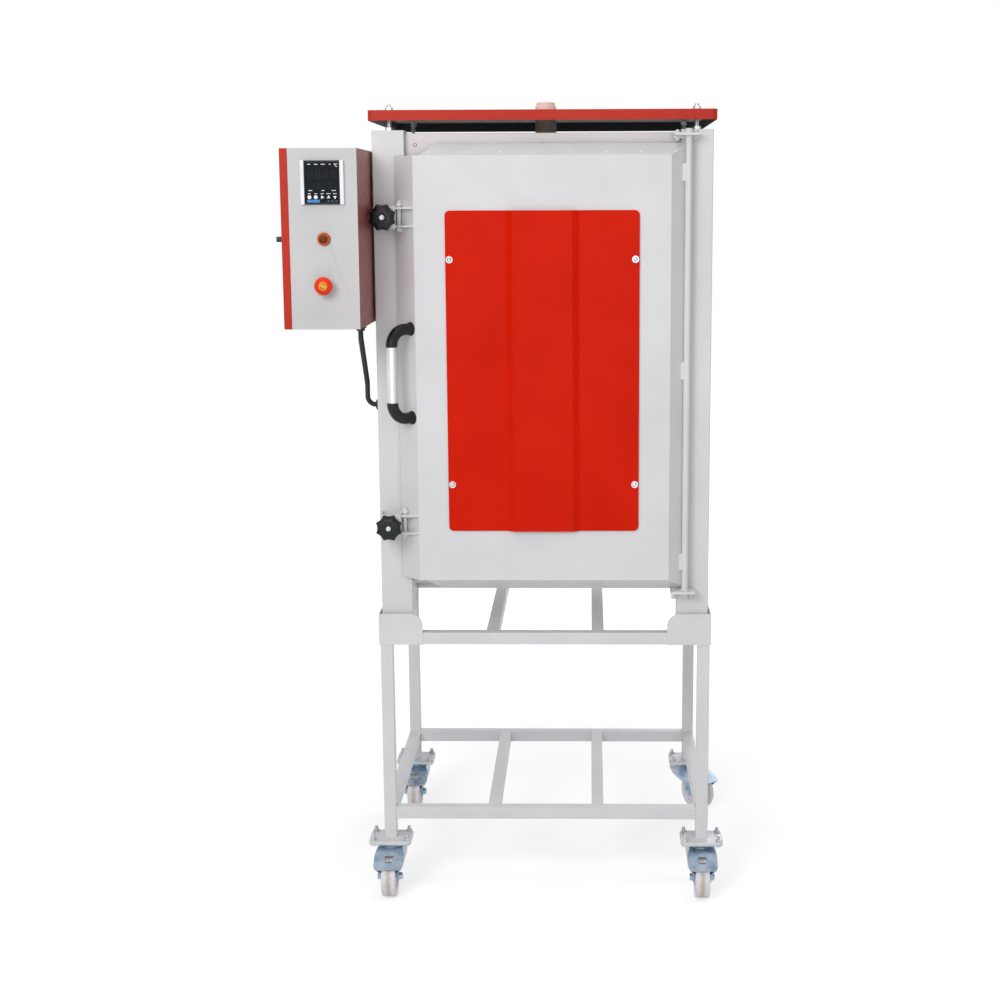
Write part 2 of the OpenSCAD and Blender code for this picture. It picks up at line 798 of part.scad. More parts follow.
module at_side_covers() for (x = [-1, 1])
    translate([x * (side_x + cover_gap), body_d / 2, cover_mid]) rotate([0, 0, x * 90]) children();

module side_covers() color(red) place() at_side_covers() ribbed_panel(cover_w, cover_h, cover_screw_h);

module rear_cover() color(paint) place() translate([0, back_y, cover_mid]) difference() {
    union() {
        rotate([-90, 0, 0]) linear_extrude(sheet) rounded(rear_w, rear_h, 6);
        rotate([-90, 0, 0]) linear_extrude(rear_d) rounded(rear_w - 30, rear_h - 30, 8);
    }
    translate([0, -cut, 0]) rotate([-90, 0, 0])
        linear_extrude(rear_d - sheet + cut) rounded(rear_w - 30 - 2 * sheet, rear_h - 30 - 2 * sheet, 6.5);
    // Rows of ventilation slots
    for (z = [-1, 1], row = [0 : 3], x = [-4 : 4])
        translate([x * 54, rear_d / 2, z * (rear_h / 2 - 60 - 22 * row)]) rotate([-90, 0, 0])
            linear_extrude(rear_d) rounded(40, 6, 2.9);
}

module cover_screws() color(steel) place() {
    at_side_covers() fixings(cover_w, cover_screw_h, cover_gap);
    for (x = [-1, 1], z = [-1, 0, 1])
        translate([x * (rear_w / 2 - 7.5), back_y + sheet, cover_mid + z * (rear_h / 2 - 40)])
            rotate([-90, 0, 0]) cylinder(d1 = 10, d2 = 7, h = 3);
}

// Roof and flue

module roof_sheet() color(red) place() {
    depth = body_d + roof_front + roof_rear;
    mid = (body_d + roof_rear - roof_front) / 2;
    difference() {
        translate([0, mid, roof_top - roof_edge]) linear_extrude(roof_edge) rounded(roof_w, depth, roof_r);
        translate([0, mid, roof_top - roof_edge - cut]) linear_extrude(roof_edge - sheet + cut)
            rounded(roof_w - 2 * sheet, depth - 2 * sheet, roof_r - sheet);
        four_corners() translate([-post_mid, post / 2, roof_top - roof_edge]) cylinder(d = stud_d + 1, h = 2 * roof_edge);
        translate([0, flue_y, roof_top - roof_edge]) cylinder(d = flue_d + 4, h = 2 * roof_edge);
    }
}

module roof_studs() color(steel) place() four_corners() translate([-post_mid, post / 2, 0]) {
    translate([0, 0, post_top - post_t]) cylinder(d = stud_d, h = roof_top + 12 - post_top + post_t);
    translate([0, 0, post_top]) hex(17, 8);
    translate([0, 0, post_top - post_t - 8]) hex(17, 8);
    translate([0, 0, roof_top - sheet - 8]) hex(17, 8);
    translate([0, 0, roof_top]) hex(17, 8);
    translate([0, 0, roof_top + 8]) cylinder(d1 = 15, d2 = 8, h = 7);
}

module flue_tube() color(ceramic) place() translate([0, flue_y, 0]) difference() {
    union() {
        translate([0, 0, ch_z1]) cylinder(d = flue_d, h = flue_top - ch_z1);
        translate([0, 0, lid_z + sheet]) cylinder(d = flue_d + 28, h = 8);
    }
    translate([0, 0, ch_z1 - cut]) cylinder(d = flue_bore, h = flue_top - ch_z1 + 2 * cut);
}

module flue_stopper() color(ceramic) place() translate([0, flue_y, flue_top + play]) rotate_extrude() polygon([
    [0, -28], [flue_bore / 2 - 4, -28], [flue_bore / 2 - 1, 0], [flue_d / 2 - 3, 0],
    [flue_d / 2 - 3, 8], [flue_d / 2 - 6, 10], [0, 10]
]);

// Hinge

// A plate on its tab, with two bolts whose lower ends start at bolt_z and stand out above by rise
module hinge_plate(z, bolt_z, rise) {
    difference() {
        block([hinge_plate_x, -hinge_plate_d, z], [hinge_plate_x + hinge_plate_w, 0, z + hinge_t]);
        translate([hinge_x, hinge_y, z - cut]) cylinder(d = rod_d + 2 * run, h = hinge_t + 2 * cut);
    }
    block([hinge_plate_x, -tab_d, z - hinge_t], [hinge_plate_x + hinge_plate_w, 0, z]);
    for (x = hinge_bolts) translate([hinge_x + x, -8, bolt_z]) {
        hex(hinge_nut, z + hinge_t - bolt_z + rise - 2);
        cylinder(d = 6, h = z + hinge_t - bolt_z + rise);
    }
}

module hinge_plates() color(paint) place() {
    hinge_plate(upper_plate_z, upper_plate_z - hinge_t - 5, 8);
    hinge_plate(lower_plate_z, lower_plate_z - hinge_t - 13, 2);
}

module hinge_rod() color(paint) place() {
    translate([hinge_x, hinge_y, rod_z0]) cylinder(d = rod_d, h = rod_z1 - rod_z0);
    // Collar that carries the door on the lower plate
    translate([hinge_x, hinge_y, lower_plate_z + hinge_t + play]) cylinder(d = rod_d + 8, h = 3 - play);
    // Weld lugs to the door's slanting edge
    corner = [door_right, door_front + door_lip];
    for (z = [door_z + 40, door_z + door_h / 2, door_top - 40])
        translate([0, 0, z - 20]) linear_extrude(40) polygon([
            corner - [8, 8], corner, [hinge_x, hinge_y + rod_d / 2 - 2], [hinge_x, hinge_y], [hinge_x - 3, hinge_y - 6]
        ]);
}

// Door

// The door's outline from above, drawn in by a wall
function door_outline(t) = [
    [door_left + t * sqrt(2), door_rear],
    [-door_half + t * (sqrt(2) - 1), door_front + t],
    [door_half - t * (sqrt(2) - 1), door_front + t],
    [door_right - t, door_front + door_lip + t * (sqrt(2) - 1)],
    [door_right - t, door_rear]
];

// The sloping strip above the flat front, drawn in by a wall
module door_slope(t) intersection() {
    translate([door_right, 0, door_top]) rotate([90, 0, -90]) linear_extrude(2 * door_right) polygon([
        [-door_rear, -t], [-door_front - 2 * t, -t], [-door_rear, slope_h - 1.2 * t]
    ]);
    translate([0, 0, door_top - 2 * cut]) linear_extrude(2 * slope_h) intersection() {
        polygon(door_outline(t));
        polygon([
            [-door_half + mitre_front + t, door_front], [door_right - t, door_front],
            [door_right - t, door_rear + cut], [-door_half + mitre_rear + t, door_rear + cut]
        ]);
    }
}

module door_solid(t) {
    translate([0, 0, door_z + t]) linear_extrude(door_h - 2 * t) polygon(door_outline(t));
    door_slope(t);
    translate([0, 0, door_z + door_top]) mirror([0, 0, 1]) door_slope(t);
}

module door_skin() color(paint) place() difference() {
    door_solid(0);
    door_solid(sheet);
}

module door_back() color(steel) place() difference() {
    union() {
        block([door_left, door_rear, door_z], [door_right, door_rear + sheet, door_top]);
        block([-door_half + mitre_rear, door_rear, rim_z0], [door_right, door_rear + sheet, rim_z1]);
    }
    block([-plug_half - seat, door_rear - cut, plug_z0 - seat], [plug_half + seat, door_rear + sheet + cut, plug_z1 + seat]);
}

module door_bricks() color(brick) place() {
    block([-door_half + 4, door_front + sheet, door_z + 4], [door_half - 4, door_rear, door_top - 4]);
    block([-plug_half, door_rear - cut, plug_z0], [plug_half, collar_back + plug_in, plug_z1]);
}

module door_seal() color(board) place() difference() {
    block([-plug_half - seal_w, door_rear + sheet, plug_z0 - seal_w], [plug_half + seal_w, collar_back - play, plug_z1 + seal_w]);
    block([-plug_half - seat, door_rear, plug_z0 - seat], [plug_half + seat, collar_back + cut, plug_z1 + seat]);
}

module at_panel() translate([0, door_front - panel_gap, panel_z]) children();
module door_panel() color(red) place() at_panel() ribbed_panel(panel_w, panel_h, panel_screw_h);
module panel_screws() color(steel) place() at_panel() fixings(panel_w, panel_screw_h, panel_gap);

// Handle: built upright at x = 0 with its foot face at y = 0 and the grip towards -Y
module at_handle() translate([foot_x, foot_y, 0]) rotate([0, 0, -45]) children();

module handle_grip() color(steel) place() at_handle()
    translate([0, -grip_off, grip_z]) cylinder(d = grip_d, h = grip_l);

module handle_end() {
    // Quarter bend from the upright grip to the door, then a short stem with its foot
    translate([0, -grip_off + grip_bend, 0]) rotate([0, 90, 0]) rotate([0, 0, -90])
        rotate_extrude(angle = 90) translate([grip_bend, 0]) circle(d = grip_d + 3);
    translate([0, 0, -grip_bend]) rotate([90, 0, 0]) cylinder(d = grip_d + 3, h = grip_off - grip_bend);
    translate([0, 0, -grip_bend]) rotate([90, 0, 0]) cylinder(d1 = grip_d + 9, d2 = grip_d + 5, h = 5);
}

module handle_ends() color(black) place() at_handle() {
    translate([0, 0, grip_z]) handle_end();
    translate([0, 0, grip_z + grip_l]) mirror([0, 0, 1]) handle_end();
}

// Clamps

module clamp_brackets() color(paint) place() difference() {
    clamp_places() {
        difference() {
            translate([0, sec_back - box_sec / 2, -box_sec_h / 2]) square_section();
            forward() cylinder(d = clamp_bolt_d + 2 * run, h = box_sec);
            translate([0, sec_front + box_sec_t + cut, 0]) forward() cylinder(r = neck_r + run, h = box_sec_t + 2 * cut);
        }
        // Ears to the door's slanting edge, with the bolt that holds them
        for (z = [-1, 1]) translate([box_sec / 2, 0, z * (box_sec_h / 2 - 6) - 2])
            block([0, sec_front + 6, 0], [ear_l, sec_back, 4]);
        translate([box_sec / 2 + 7, sec_back - 18, -box_sec_h / 2 - 6]) {
            cylinder(d = 10, h = box_sec_h + 18);
            hex(16, 8);
            translate([0, 0, box_sec_h + 4]) hex(16, 8);
        }
    }
    translate([0, 0, door_z]) linear_extrude(door_h) polygon(door_outline(0));
}

module square_section() linear_extrude(box_sec_h) difference() {
    rounded(box_sec, box_sec, box_sec_t);
    square(box_sec - 2 * box_sec_t, center = true);
}

module clamp_bushes() color(zinc) place() clamp_places() difference() {
    union() {
        forward() cylinder(r = bush_r + 5, h = bush_flange);
        translate([0, bolt_in + 4, 0]) forward() cylinder(r = bush_r - 0.1, h = bolt_in + 4 + cut);
    }
    translate([0, bolt_in + 4 + cut, 0]) forward() cylinder(d = clamp_bolt_d + 2 * loose, h = bolt_in + 10 + 2 * cut);
}

// Star knob on its bracket, along -Y from the post's front face
module clamp_knob(z) color(black) place() translate([-clamp_x, 0, z]) forward() difference() {
    base = -sec_front + play;
    lobe = 0.27 * knob_d / 2;
    union() {
        intersection() {
            translate([0, 0, base + hub_l]) linear_extrude(knob_h) {
                circle(r = 0.72 * knob_d / 2);
                for (k = [0 : knob_lobes - 1]) rotate(k * 360 / knob_lobes)
                    translate([knob_d / 2 - lobe, 0]) circle(r = lobe);
            }
            // Domed front
            translate([0, 0, base + hub_l + knob_h - 1.6 * knob_d]) sphere(r = 1.6 * knob_d);
        }
        translate([0, 0, base]) cylinder(r1 = neck_r + 4, r2 = 0.6 * knob_d / 2, h = hub_l + cut);
        translate([0, 0, base - play - box_sec_t - 2 * play]) cylinder(r = neck_r, h = box_sec_t + 4);
        translate([0, 0, base - box_sec_t - 2 * play - 4]) cylinder(r = neck_r + 4, h = 4);
    }
    cylinder(d = clamp_bolt_d + 2 * run, h = 10 * hub_l);
    // Dish around the bolt's end
    translate([0, 0, base + hub_l + knob_h - 4]) cylinder(r1 = 8, r2 = 12, h = 5);
}

module clamp_bolt(z) color(zinc) place() translate([-clamp_x, bolt_in, z]) forward() {
    length = bolt_in - knob_front;
    cylinder(d1 = clamp_bolt_d - 4, d2 = clamp_bolt_d, h = 2);
    translate([0, 0, 2]) cylinder(d = clamp_bolt_d, h = length - 3);
    translate([0, 0, length - 1]) cylinder(d1 = clamp_bolt_d, d2 = clamp_bolt_d - 3, h = 1.5);
}

// Control box

module box_shell() color(paint) place() difference() {
    block([box_x0, box_y0, box_z], [box_x1, box_y0 + box_d, box_top]);
    block([box_x0 - cut, box_y0 + sheet, box_z + sheet], [box_x1 - sheet, box_y0 + box_d - sheet, box_top - sheet]);
    translate([device_x, box_y0, box_top - meter_drop]) cube([meter - 4, 4 * cut, meter - 4], center = true);
    for (drop = [lamp_drop, stop_drop])
        translate([device_x, box_y0 + 2 * sheet, box_top - drop]) forward() cylinder(d = 22, h = 3 * sheet);
    translate([conduit_x, -conduit_y, box_z - cut]) cylinder(d = conduit_d, h = 4 * cut);
    translate([cover_x, 0, 0]) block([box_w, 20, box_z + 60], [2 * box_w, 40, box_z + 80]);
}

module box_side_cover() color(red) place() difference() {
    block([cover_x, box_y0, box_z], [box_x0, box_y0 + box_d, box_top]);
    block([cover_x + sheet, box_y0 + sheet, box_z + sheet], [box_x0 + cut, box_y0 + box_d - sheet, box_top - sheet]);
    at_switch() translate([0, 0, -2 * sheet]) cylinder(d = 30, h = 4 * sheet);
}

module at_device(drop) translate([device_x, box_y0, box_top - drop]) forward() children();

module controller() color(black) place() at_device(meter_drop) difference() {
    union() {
        linear_extrude(5) rounded(meter, meter, 3);
        linear_extrude(7.5) rounded(meter - 8, meter - 2, 3);
        translate([0, 0, -80]) linear_extrude(80 + cut) square(meter - 6, center = true);
    }
    translate([0, 0, 6.5]) linear_extrude(2) square([meter - 20, meter - 8], center = true);
}

module panel_collars() color(black) place() {
    at_device(lamp_drop) difference() {
        rotate_extrude() polygon([
            [0, -18], [10.8, -18], [10.8, 0], [14.5, 0], [14.5, 3], [13, 5], [0, 5]
        ]);
        translate([0, 0, 2]) cylinder(r = 10.5, h = 4);
    }
    at_device(stop_drop) difference() {
        rotate_extrude() polygon([
            [0, -40], [10.8, -40], [10.8, 0], [14.5, 0], [14.5, 4], [12, 10], [0, 10]
        ]);
        translate([0, 0, -40 - cut]) cylinder(r = 8 + run, h = 60);
    }
}

module lamp_lens() color("#C77A1E") place() at_device(lamp_drop) translate([0, 0, 2]) {
    cylinder(r = 10.3, h = 7);
    translate([0, 0, 7]) cylinder(r1 = 10.3, r2 = 6.5, h = 4);
}

module stop_stem() color(steel) place() at_device(stop_drop) {
    translate([0, 0, -30]) cylinder(r = 8, h = 50);
    translate([0, 0, 20 - cut]) cylinder(r = 5, h = 8);
}

module stop_head() color(red) place() at_device(stop_drop) difference() {
    rotate_extrude() polygon([
        [0, 20 + play], [stop_d / 2 - 6, 20 + play], [stop_d / 2 - 1, 22], [stop_d / 2, 24.5], [stop_d / 2, 28],
        [stop_d / 2 - 2, 31], [stop_d / 2 - 7, 33.4], [stop_d / 4, 34.5], [stop_d / 4 - 1, stop_out], [0, stop_out]
    ]);
    translate([0, 0, 20 - cut]) cylinder(r = 5 + run, h = 7 + cut + play);
}

module at_switch() translate([cover_x, box_y0 + switch_y, box_top - switch_drop]) rotate([0, -90, 0]) children();

module switch_plate() color(black) place() at_switch() difference() {
    union() {
        linear_extrude(plate_t) rounded(switch_w, switch_w, 4);
        translate([0, 0, -12]) cylinder(d = 28, h = 12 + cut);
    }
    translate([0, 0, -12 - cut]) cylinder(r = 6 + run, h = 20);
}

module switch_knob() color(black) place() at_switch() {
    translate([0, 0, -10]) cylinder(r = 6, h = 16);
    translate([0, 0, plate_t + play]) cylinder(d1 = 40, d2 = 36, h = 12);
    intersection() {
        translate([-6, -19, plate_t + play + 11]) cube([12, 38, switch_out - plate_t - play - 11]);
        cylinder(r1 = 20, r2 = 17, h = switch_out);
    }
}

// Conduit: a hose of straight lengths and bends, each step [length, bend, roll of the bend]
module hose(steps, i = 0) if (i < len(steps)) {
    run_l = steps[i][0];
    bend = steps[i][1];
    cylinder(d = conduit_d, h = run_l);
    translate([0, 0, run_l]) rotate([0, 0, steps[i][2]]) {
        if (bend > 0) translate([conduit_r, 0, 0]) rotate([90, 0, 0]) rotate([0, 0, 180 - bend])
            rotate_extrude(angle = bend) translate([conduit_r, 0]) circle(d = conduit_d);
        translate([conduit_r * (1 - cos(bend)), 0, conduit_r * sin(bend)]) rotate([0, bend, 0])
            hose(steps, i + 1);
    }
}

module conduit() color(black) place() {
    slant = (conduit_y + conduit_in_y - 2 * conduit_r * (1 - cos(conduit_lean))) / sin(conduit_lean);
    drop = conduit_drop + 2 * conduit_r * sin(conduit_lean) + slant * cos(conduit_lean) + conduit_drop + conduit_r;
    translate([conduit_x, -conduit_y, box_z]) rotate([180, 0, 0]) {
        hose([
            [conduit_drop, conduit_lean, -90], [slant, conduit_lean, 180], [conduit_drop, 90, -90], [8, 0, 0]
        ]);
        hex(24, 9);
        cylinder(d = 20, h = 16);
    }
    translate([-half, conduit_in_y, box_z - drop]) rotate([0, -90, 0]) {
        hex(24, 8);
    }
}

stand_legs();
stand_cross_rails();
stand_long_rails();
corner_pockets();
foot_plates();
castor_plates();
for (i = [0 : 3]) {
    castor_fork(i);
    castor_wheel(i);
}
corner_posts();
casing_sides();
casing_back();
casing_ends();
front_collar();
backing_boards();
brick_floor();
brick_sides();
brick_back();
brick_roof();
heating_coils();
coil_bushes();
thermocouple();
side_covers();
rear_cover();
cover_screws();
roof_sheet();
roof_studs();
flue_tube();
flue_stopper();
hinge_plates();
clamp_bushes();
door_skin();
door_back();
door_bricks();
door_seal();
door_panel();
panel_screws();
hinge_rod();
clamp_brackets();
handle_grip();
handle_ends();
clamp_knob(clamp_high);  // upper_knob
clamp_bolt(clamp_high);  // upper_bolt
clamp_knob(clamp_low);  // lower_knob
clamp_bolt(clamp_low);  // lower_bolt
box_shell();
box_side_cover();
controller();
panel_collars();
lamp_lens();
stop_stem();
stop_head();
switch_plate();
switch_knob();
conduit();
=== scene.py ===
"""Looks of a front-loading ceramic kiln on a castor stand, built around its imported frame."""

import logging
import math
from collections.abc import Callable, Sequence
from dataclasses import dataclass
from enum import Enum
from itertools import product

import bmesh
import bpy
from mathutils import Matrix, Vector

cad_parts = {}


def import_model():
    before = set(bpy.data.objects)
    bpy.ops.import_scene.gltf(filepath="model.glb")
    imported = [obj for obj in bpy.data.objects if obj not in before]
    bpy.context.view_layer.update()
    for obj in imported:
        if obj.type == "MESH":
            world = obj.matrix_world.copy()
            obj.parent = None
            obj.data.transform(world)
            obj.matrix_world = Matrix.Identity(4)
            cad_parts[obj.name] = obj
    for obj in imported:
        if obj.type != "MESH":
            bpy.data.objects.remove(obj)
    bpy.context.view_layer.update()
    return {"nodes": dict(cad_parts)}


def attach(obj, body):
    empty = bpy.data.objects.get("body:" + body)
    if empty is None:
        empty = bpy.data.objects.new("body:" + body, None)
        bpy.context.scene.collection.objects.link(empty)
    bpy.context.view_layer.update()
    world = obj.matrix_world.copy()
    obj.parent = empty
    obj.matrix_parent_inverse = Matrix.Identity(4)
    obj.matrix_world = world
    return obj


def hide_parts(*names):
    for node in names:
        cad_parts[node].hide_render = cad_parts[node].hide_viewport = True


LOG = logging.getLogger("kiln")

# The frame's origin in the kiln's own measures: the middle of its box, on the floor.
MIDDLE = Vector((-68.6525, 200.9145, 0.0))

Point = tuple[float, float, float]
Outline = list[tuple[float, float]]
Mesh = bmesh.types.BMesh
Socket = bpy.types.NodeSocket
Thing = bpy.types.Object
Lobes = Callable[[float, float], float]
Inputs = dict[str | int, object]

SIDES = (-1, 1)
FORWARD: Point = (0.0, -1.0, 0.0)
BACKWARD: Point = (0.0, 1.0, 0.0)
UPWARD: Point = (0.0, 0.0, 1.0)


def metres(x: float, y: float, z: float) -> Vector:
    """Turns a point of the kiln's own measures into the shared frame.

    Args:
        x: millimetres to the right of the middle between the front posts.
        y: millimetres behind the front faces of the posts.
        z: millimetres above the floor.

    Returns:
        The point in metres.
    """
    return (Vector((x, y, z)) - MIDDLE) / 1000


def linear(colour: str) -> tuple[float, float, float, float]:
    """Turns a written colour such as "#DEDDDB" into linear light, along the screen colours' own curve.

    Args:
        colour: six hexadecimal digits after a hash.

    Returns:
        Red, green, blue and an opaque alpha.
    """
    parts = [int(colour[i:i + 2], 16) / 255 for i in (1, 3, 5)]
    light = [p / 12.92 if p <= 0.04045 else ((p + 0.055) / 1.055) ** 2.4 for p in parts]
    return (light[0], light[1], light[2], 1.0)


def add_object(name: str, data: bpy.types.ID) -> Thing:
    """Puts a mesh, light or camera into the scene as an object of its own."""
    made = bpy.data.objects.new(name, data)
    bpy.context.scene.collection.objects.link(made)
    return made


class Wires:
    """A shader tree, with short ways to add what the finishes and the surroundings share."""

    def __init__(self, tree: bpy.types.NodeTree) -> None:
        """Takes a tree over."""
        self.tree = tree

    def node(self, kind: str, inputs: Inputs | None = None, **settings: object) -> bpy.types.Node:
        """Adds a node and fills its inputs.

        Args:
            kind: the node's type.
            inputs: output sockets or constants, by the input's name or number.
            settings: values for its properties.

        Returns:
            The new node.
        """
        made = self.tree.nodes.new(kind)
        for key, value in settings.items():
            setattr(made, key, value)
        for key, value in (inputs or {}).items():
            self.feed(made.inputs[key], value)
        return made

    def feed(self, socket: Socket, value: object) -> None:
        """Links a socket or sets a constant on an input.

        Args:
            socket: the input.
            value: an output socket or a constant.
        """
        if isinstance(value, Socket):
            self.tree.links.new(value, socket)
        else:
            socket.default_value = value

    def spread(self, value: Socket, low: float, high: float, start: float = 0.3, end: float = 0.7) -> Socket:
        """Maps a grey value to a range.

        Args:
            value: the grey value.
            low: result at start.
            high: result at end.
            start: grey value that gives low.
            end: grey value that gives high.

        Returns:
            The mapped value.
        """
        ends = {"Value": value, "From Min": start, "From Max": end, "To Min": low, "To Max": high}
        return self.node("ShaderNodeMapRange", ends).outputs[0]

    def ramp(self, value: Socket, stops: Sequence[tuple[float, str]]) -> Socket:
        """Colours along a grey value.

        Args:
            value: the grey value.
            stops: places from 0 to 1 with their written colours.

        Returns:
            The colour.
        """
        node = self.node("ShaderNodeValToRGB", {0: value})
        elements = node.color_ramp.elements
        while len(elements) < len(stops):
            elements.new(0.5)
        for element, (place, colour) in zip(elements, stops):
            element.position = place
            element.color = linear(colour)
        return node.outputs[0]

    def blend(self, share: Socket, below: object, above: object, way: str = "MIX") -> Socket:
        """Mixes two colours, which are the sockets 6 and 7 of the Mix node.

        Args:
            share: how much of the upper one shows.
            below: the lower colour.
            above: the upper colour.
            way: the blend type.

        Returns:
            The mixed colour.
        """
        colours = {0: share, 6: below, 7: above}
        return self.node("ShaderNodeMix", colours, data_type="RGBA", blend_type=way).outputs[2]

    def maths(self, way: str, *values: object) -> Socket:
        """One arithmetic step on numbers."""
        return self.node("ShaderNodeMath", dict(enumerate(values)), operation=way).outputs[0]

    def vectors(self, way: str, *values: object) -> Socket:
        """One step on vectors; a length or a dot product comes out as a number."""
        made = self.node("ShaderNodeVectorMath", dict(enumerate(values)), operation=way)
        return made.outputs["Value" if way in ("LENGTH", "DOT_PRODUCT") else "Vector"]


class Graph(Wires):
    """A material's tree with its shader and its object coordinates."""

    def __init__(self, name: str) -> None:
        """Makes the material.

        Args:
            name: the material's name.
        """
        self.material = bpy.data.materials.new(name)
        self.material.use_nodes = True
        super().__init__(self.material.node_tree)
        self.shader = self.tree.nodes["Principled BSDF"]
        self.object = self.node("ShaderNodeTexCoord").outputs["Object"]

    def mapped(self, scale: Point = (1, 1, 1), move: Point = (0, 0, 0)) -> Socket:
        """Object coordinates, stretched along each axis and moved in metres."""
        places = {"Vector": self.object, "Scale": scale, "Location": move}
        return self.node("ShaderNodeMapping", places).outputs["Vector"]

    def noise(self, scale: float, detail: float = 2.0, vector: Socket | None = None) -> Socket:
        """Noise in cells per metre.

        Args:
            scale: cells per metre.
            detail: number of finer layers.
            vector: the coordinates, or None for plain object ones.

        Returns:
            The grey output.
        """
        inputs = {"Vector": vector or self.object, "Scale": scale, "Detail": detail}
        return self.node("ShaderNodeTexNoise", inputs).outputs[0]

    def facing(self) -> Socket:
        """The direction in which the face itself looks."""
        return self.node("ShaderNodeNewGeometry").outputs["True Normal"]

    def part(self, vector: Socket, axis: str) -> Socket:
        """One axis of a vector."""
        return self.node("ShaderNodeSeparateXYZ", {0: vector}).outputs[axis]

    def from_axis(self, vector: Socket, flat: Point) -> Socket:
        """Distance from an axis through the origin.

        Args:
            vector: the coordinates.
            flat: one for each direction across the axis and zero for the one along it.

        Returns:
            The distance in metres.
        """
        return self.vectors("LENGTH", self.vectors("MULTIPLY", vector, flat))

    def relief(self, height: Socket, depth: float) -> Socket:
        """Bump of a grey height, of which a change of one stands for a depth in metres."""
        inputs = {"Height": height, "Distance": depth, "Strength": 1.0}
        return self.node("ShaderNodeBump", inputs).outputs[0]

    def dress(self, **sockets: object) -> None:
        """Sets or links inputs of the shader.

        Args:
            sockets: names with underscores for spaces, and their values.
        """
        for key, value in sockets.items():
            self.feed(self.shader.inputs[key.replace("_", " ")], value)

    def cover(self, share: Socket, colour: str) -> None:
        """Lays a written colour over the one that the shader already has."""
        painted = self.shader.inputs["Base Color"].links[0].from_socket
        self.dress(Base_Color=self.blend(share, painted, linear(colour)))


@dataclass(frozen=True)
class Finish:
    """A plain coated finish: two close colours, a roughness range and a fine grain.

    Attributes:
        name: the material's name.
        colour: the main colour, as it is written.
        shade: the colour of its darker patches.
        rough: the lowest and the highest roughness.
        patch: patches per metre.
        grain: grains per metre.
        depth: depth of the relief, in metres.
        shine: the specular level.
        metal: from 0 for a coat to 1 for bare metal.
        wear: spots of wear along one patch.
    """

    name: str
    colour: str
    shade: str
    rough: tuple[float, float] = (0.35, 0.5)
    patch: float = 6.0
    grain: float = 700.0
    depth: float = 0.00004
    shine: float = 0.5
    metal: float = 0.0
    wear: float = 9.0

    def material(self) -> bpy.types.Material:
        """Builds the material."""
        graph = Graph(self.name)
        self.paint(graph)
        graph.dress(Specular_IOR_Level=self.shine, Metallic=self.metal)
        return graph.material

    def tones(self, graph: Graph, grey: Socket, low: float = 0.3, high: float = 0.7) -> Socket:
        """The finish's two colours along a grey value.

        Args:
            graph: the material's tree.
            grey: the grey value.
            low: where the shade ends.
            high: where the full colour begins.

        Returns:
            The colour.
        """
        return graph.ramp(grey, [(low, self.shade), (high, self.colour)])

    def lay(self, graph: Graph, colour: Socket, wear: Socket, height: Socket) -> None:
        """Feeds the shader.

        Args:
            graph: the material's tree.
            colour: the colour.
            wear: grey value that sets the roughness within its range.
            height: grey height of the relief.
        """
        normal = graph.relief(height, self.depth)
        graph.dress(Base_Color=colour, Roughness=graph.spread(wear, *self.rough), Normal=normal)

    def paint(self, graph: Graph) -> None:
        """Wires patches of the two colours, a finer wear and the grain.

        Args:
            graph: the material's tree.
        """
        patches = graph.noise(self.patch, detail=4.0)
        wear = graph.noise(self.patch * self.wear, detail=3.0)
        self.lay(graph, self.tones(graph, patches, 0.32, 0.62), wear, graph.noise(self.grain))


@dataclass(frozen=True)
class BrushedMetal(Finish):
    """Metal with fine lines along one axis."""

    depth: float = 0.00002
    metal: float = 1.0
    lines: Point = (8.0, 900.0, 900.0)
    streak: str = "#D8D8D8"

    def paint(self, graph: Graph) -> None:
        """Wires colour, roughness and brushed lines.

        Args:
            graph: the material's tree.
        """
        brushed = graph.noise(1.0, 3.0, graph.mapped(scale=self.lines))
        cloud = graph.noise(self.patch, detail=3.0)
        streaks = graph.ramp(brushed, [(0.25, self.streak), (0.75, "#FFFFFF")])
        colour = graph.blend(graph.spread(cloud, 0.7, 1.0), self.tones(graph, cloud), streaks, "MULTIPLY")
        self.lay(graph, colour, brushed, brushed)


@dataclass(frozen=True)
class ZincPlate(Finish):
    """Blue passivated zinc: pale metal with a cold cast, yellowish where it is thin."""

    metal: float = 0.85
    cloud: float = 28.0
    marks: float = 90.0
    warm: str = "#C9C8B4"
    thin: float = 60.0

    def paint(self, graph: Graph) -> None:
        """Wires the cloudy plating.

        Args:
            graph: the material's tree.
        """
        cold = self.tones(graph, graph.noise(self.cloud, detail=4.0), 0.3, 0.6)
        self.lay(graph, cold, graph.noise(self.marks, detail=3.0), graph.noise(self.grain))
        thin = graph.noise(self.thin, 3.0, graph.mapped(move=(3.1, 1.7, 0.4)))
        graph.cover(graph.spread(thin, 0.0, 0.55, 0.5, 0.72), self.warm)


@dataclass(frozen=True)
class RoofCoat(Finish):
    """The roof sheet's red, with dark grey painted shade on the faces that look down or inwards."""

    under: str = "#48484B"
    centre: Point = (0.0, 0.1, 0.0)

    def paint(self, graph: Graph) -> None:
        """Wires the paint and the underside's painted shade.

        Args:
            graph: the material's tree.
        """
        super().paint(graph)
        outwards = graph.vectors("SUBTRACT", graph.object, self.centre)
        facing_out = graph.vectors("DOT_PRODUCT", graph.facing(), outwards)
        # painted shade: the faces that look down or inwards turn dark grey
        graph.cover(graph.maths("LESS_THAN", facing_out, 0.0), self.under)


@dataclass(frozen=True)
class BoxCoat(Finish):
    """The control box's paint; the walls that look towards the kiln get a darker brownish red, a red side
    cover with painted shade in its colour.
    """

    kiln_side: str = "#8E4A44"
    turn_over: float = 0.7

    def paint(self, graph: Graph) -> None:
        """Wires the paint and the red wall with its painted shade.

        Args:
            graph: the material's tree.
        """
        super().paint(graph)
        # painted shade: faces that look along +X, towards the kiln, take the darker brownish red
        towards = graph.maths("GREATER_THAN", graph.part(graph.facing(), "X"), self.turn_over)
        graph.cover(towards, self.kiln_side)


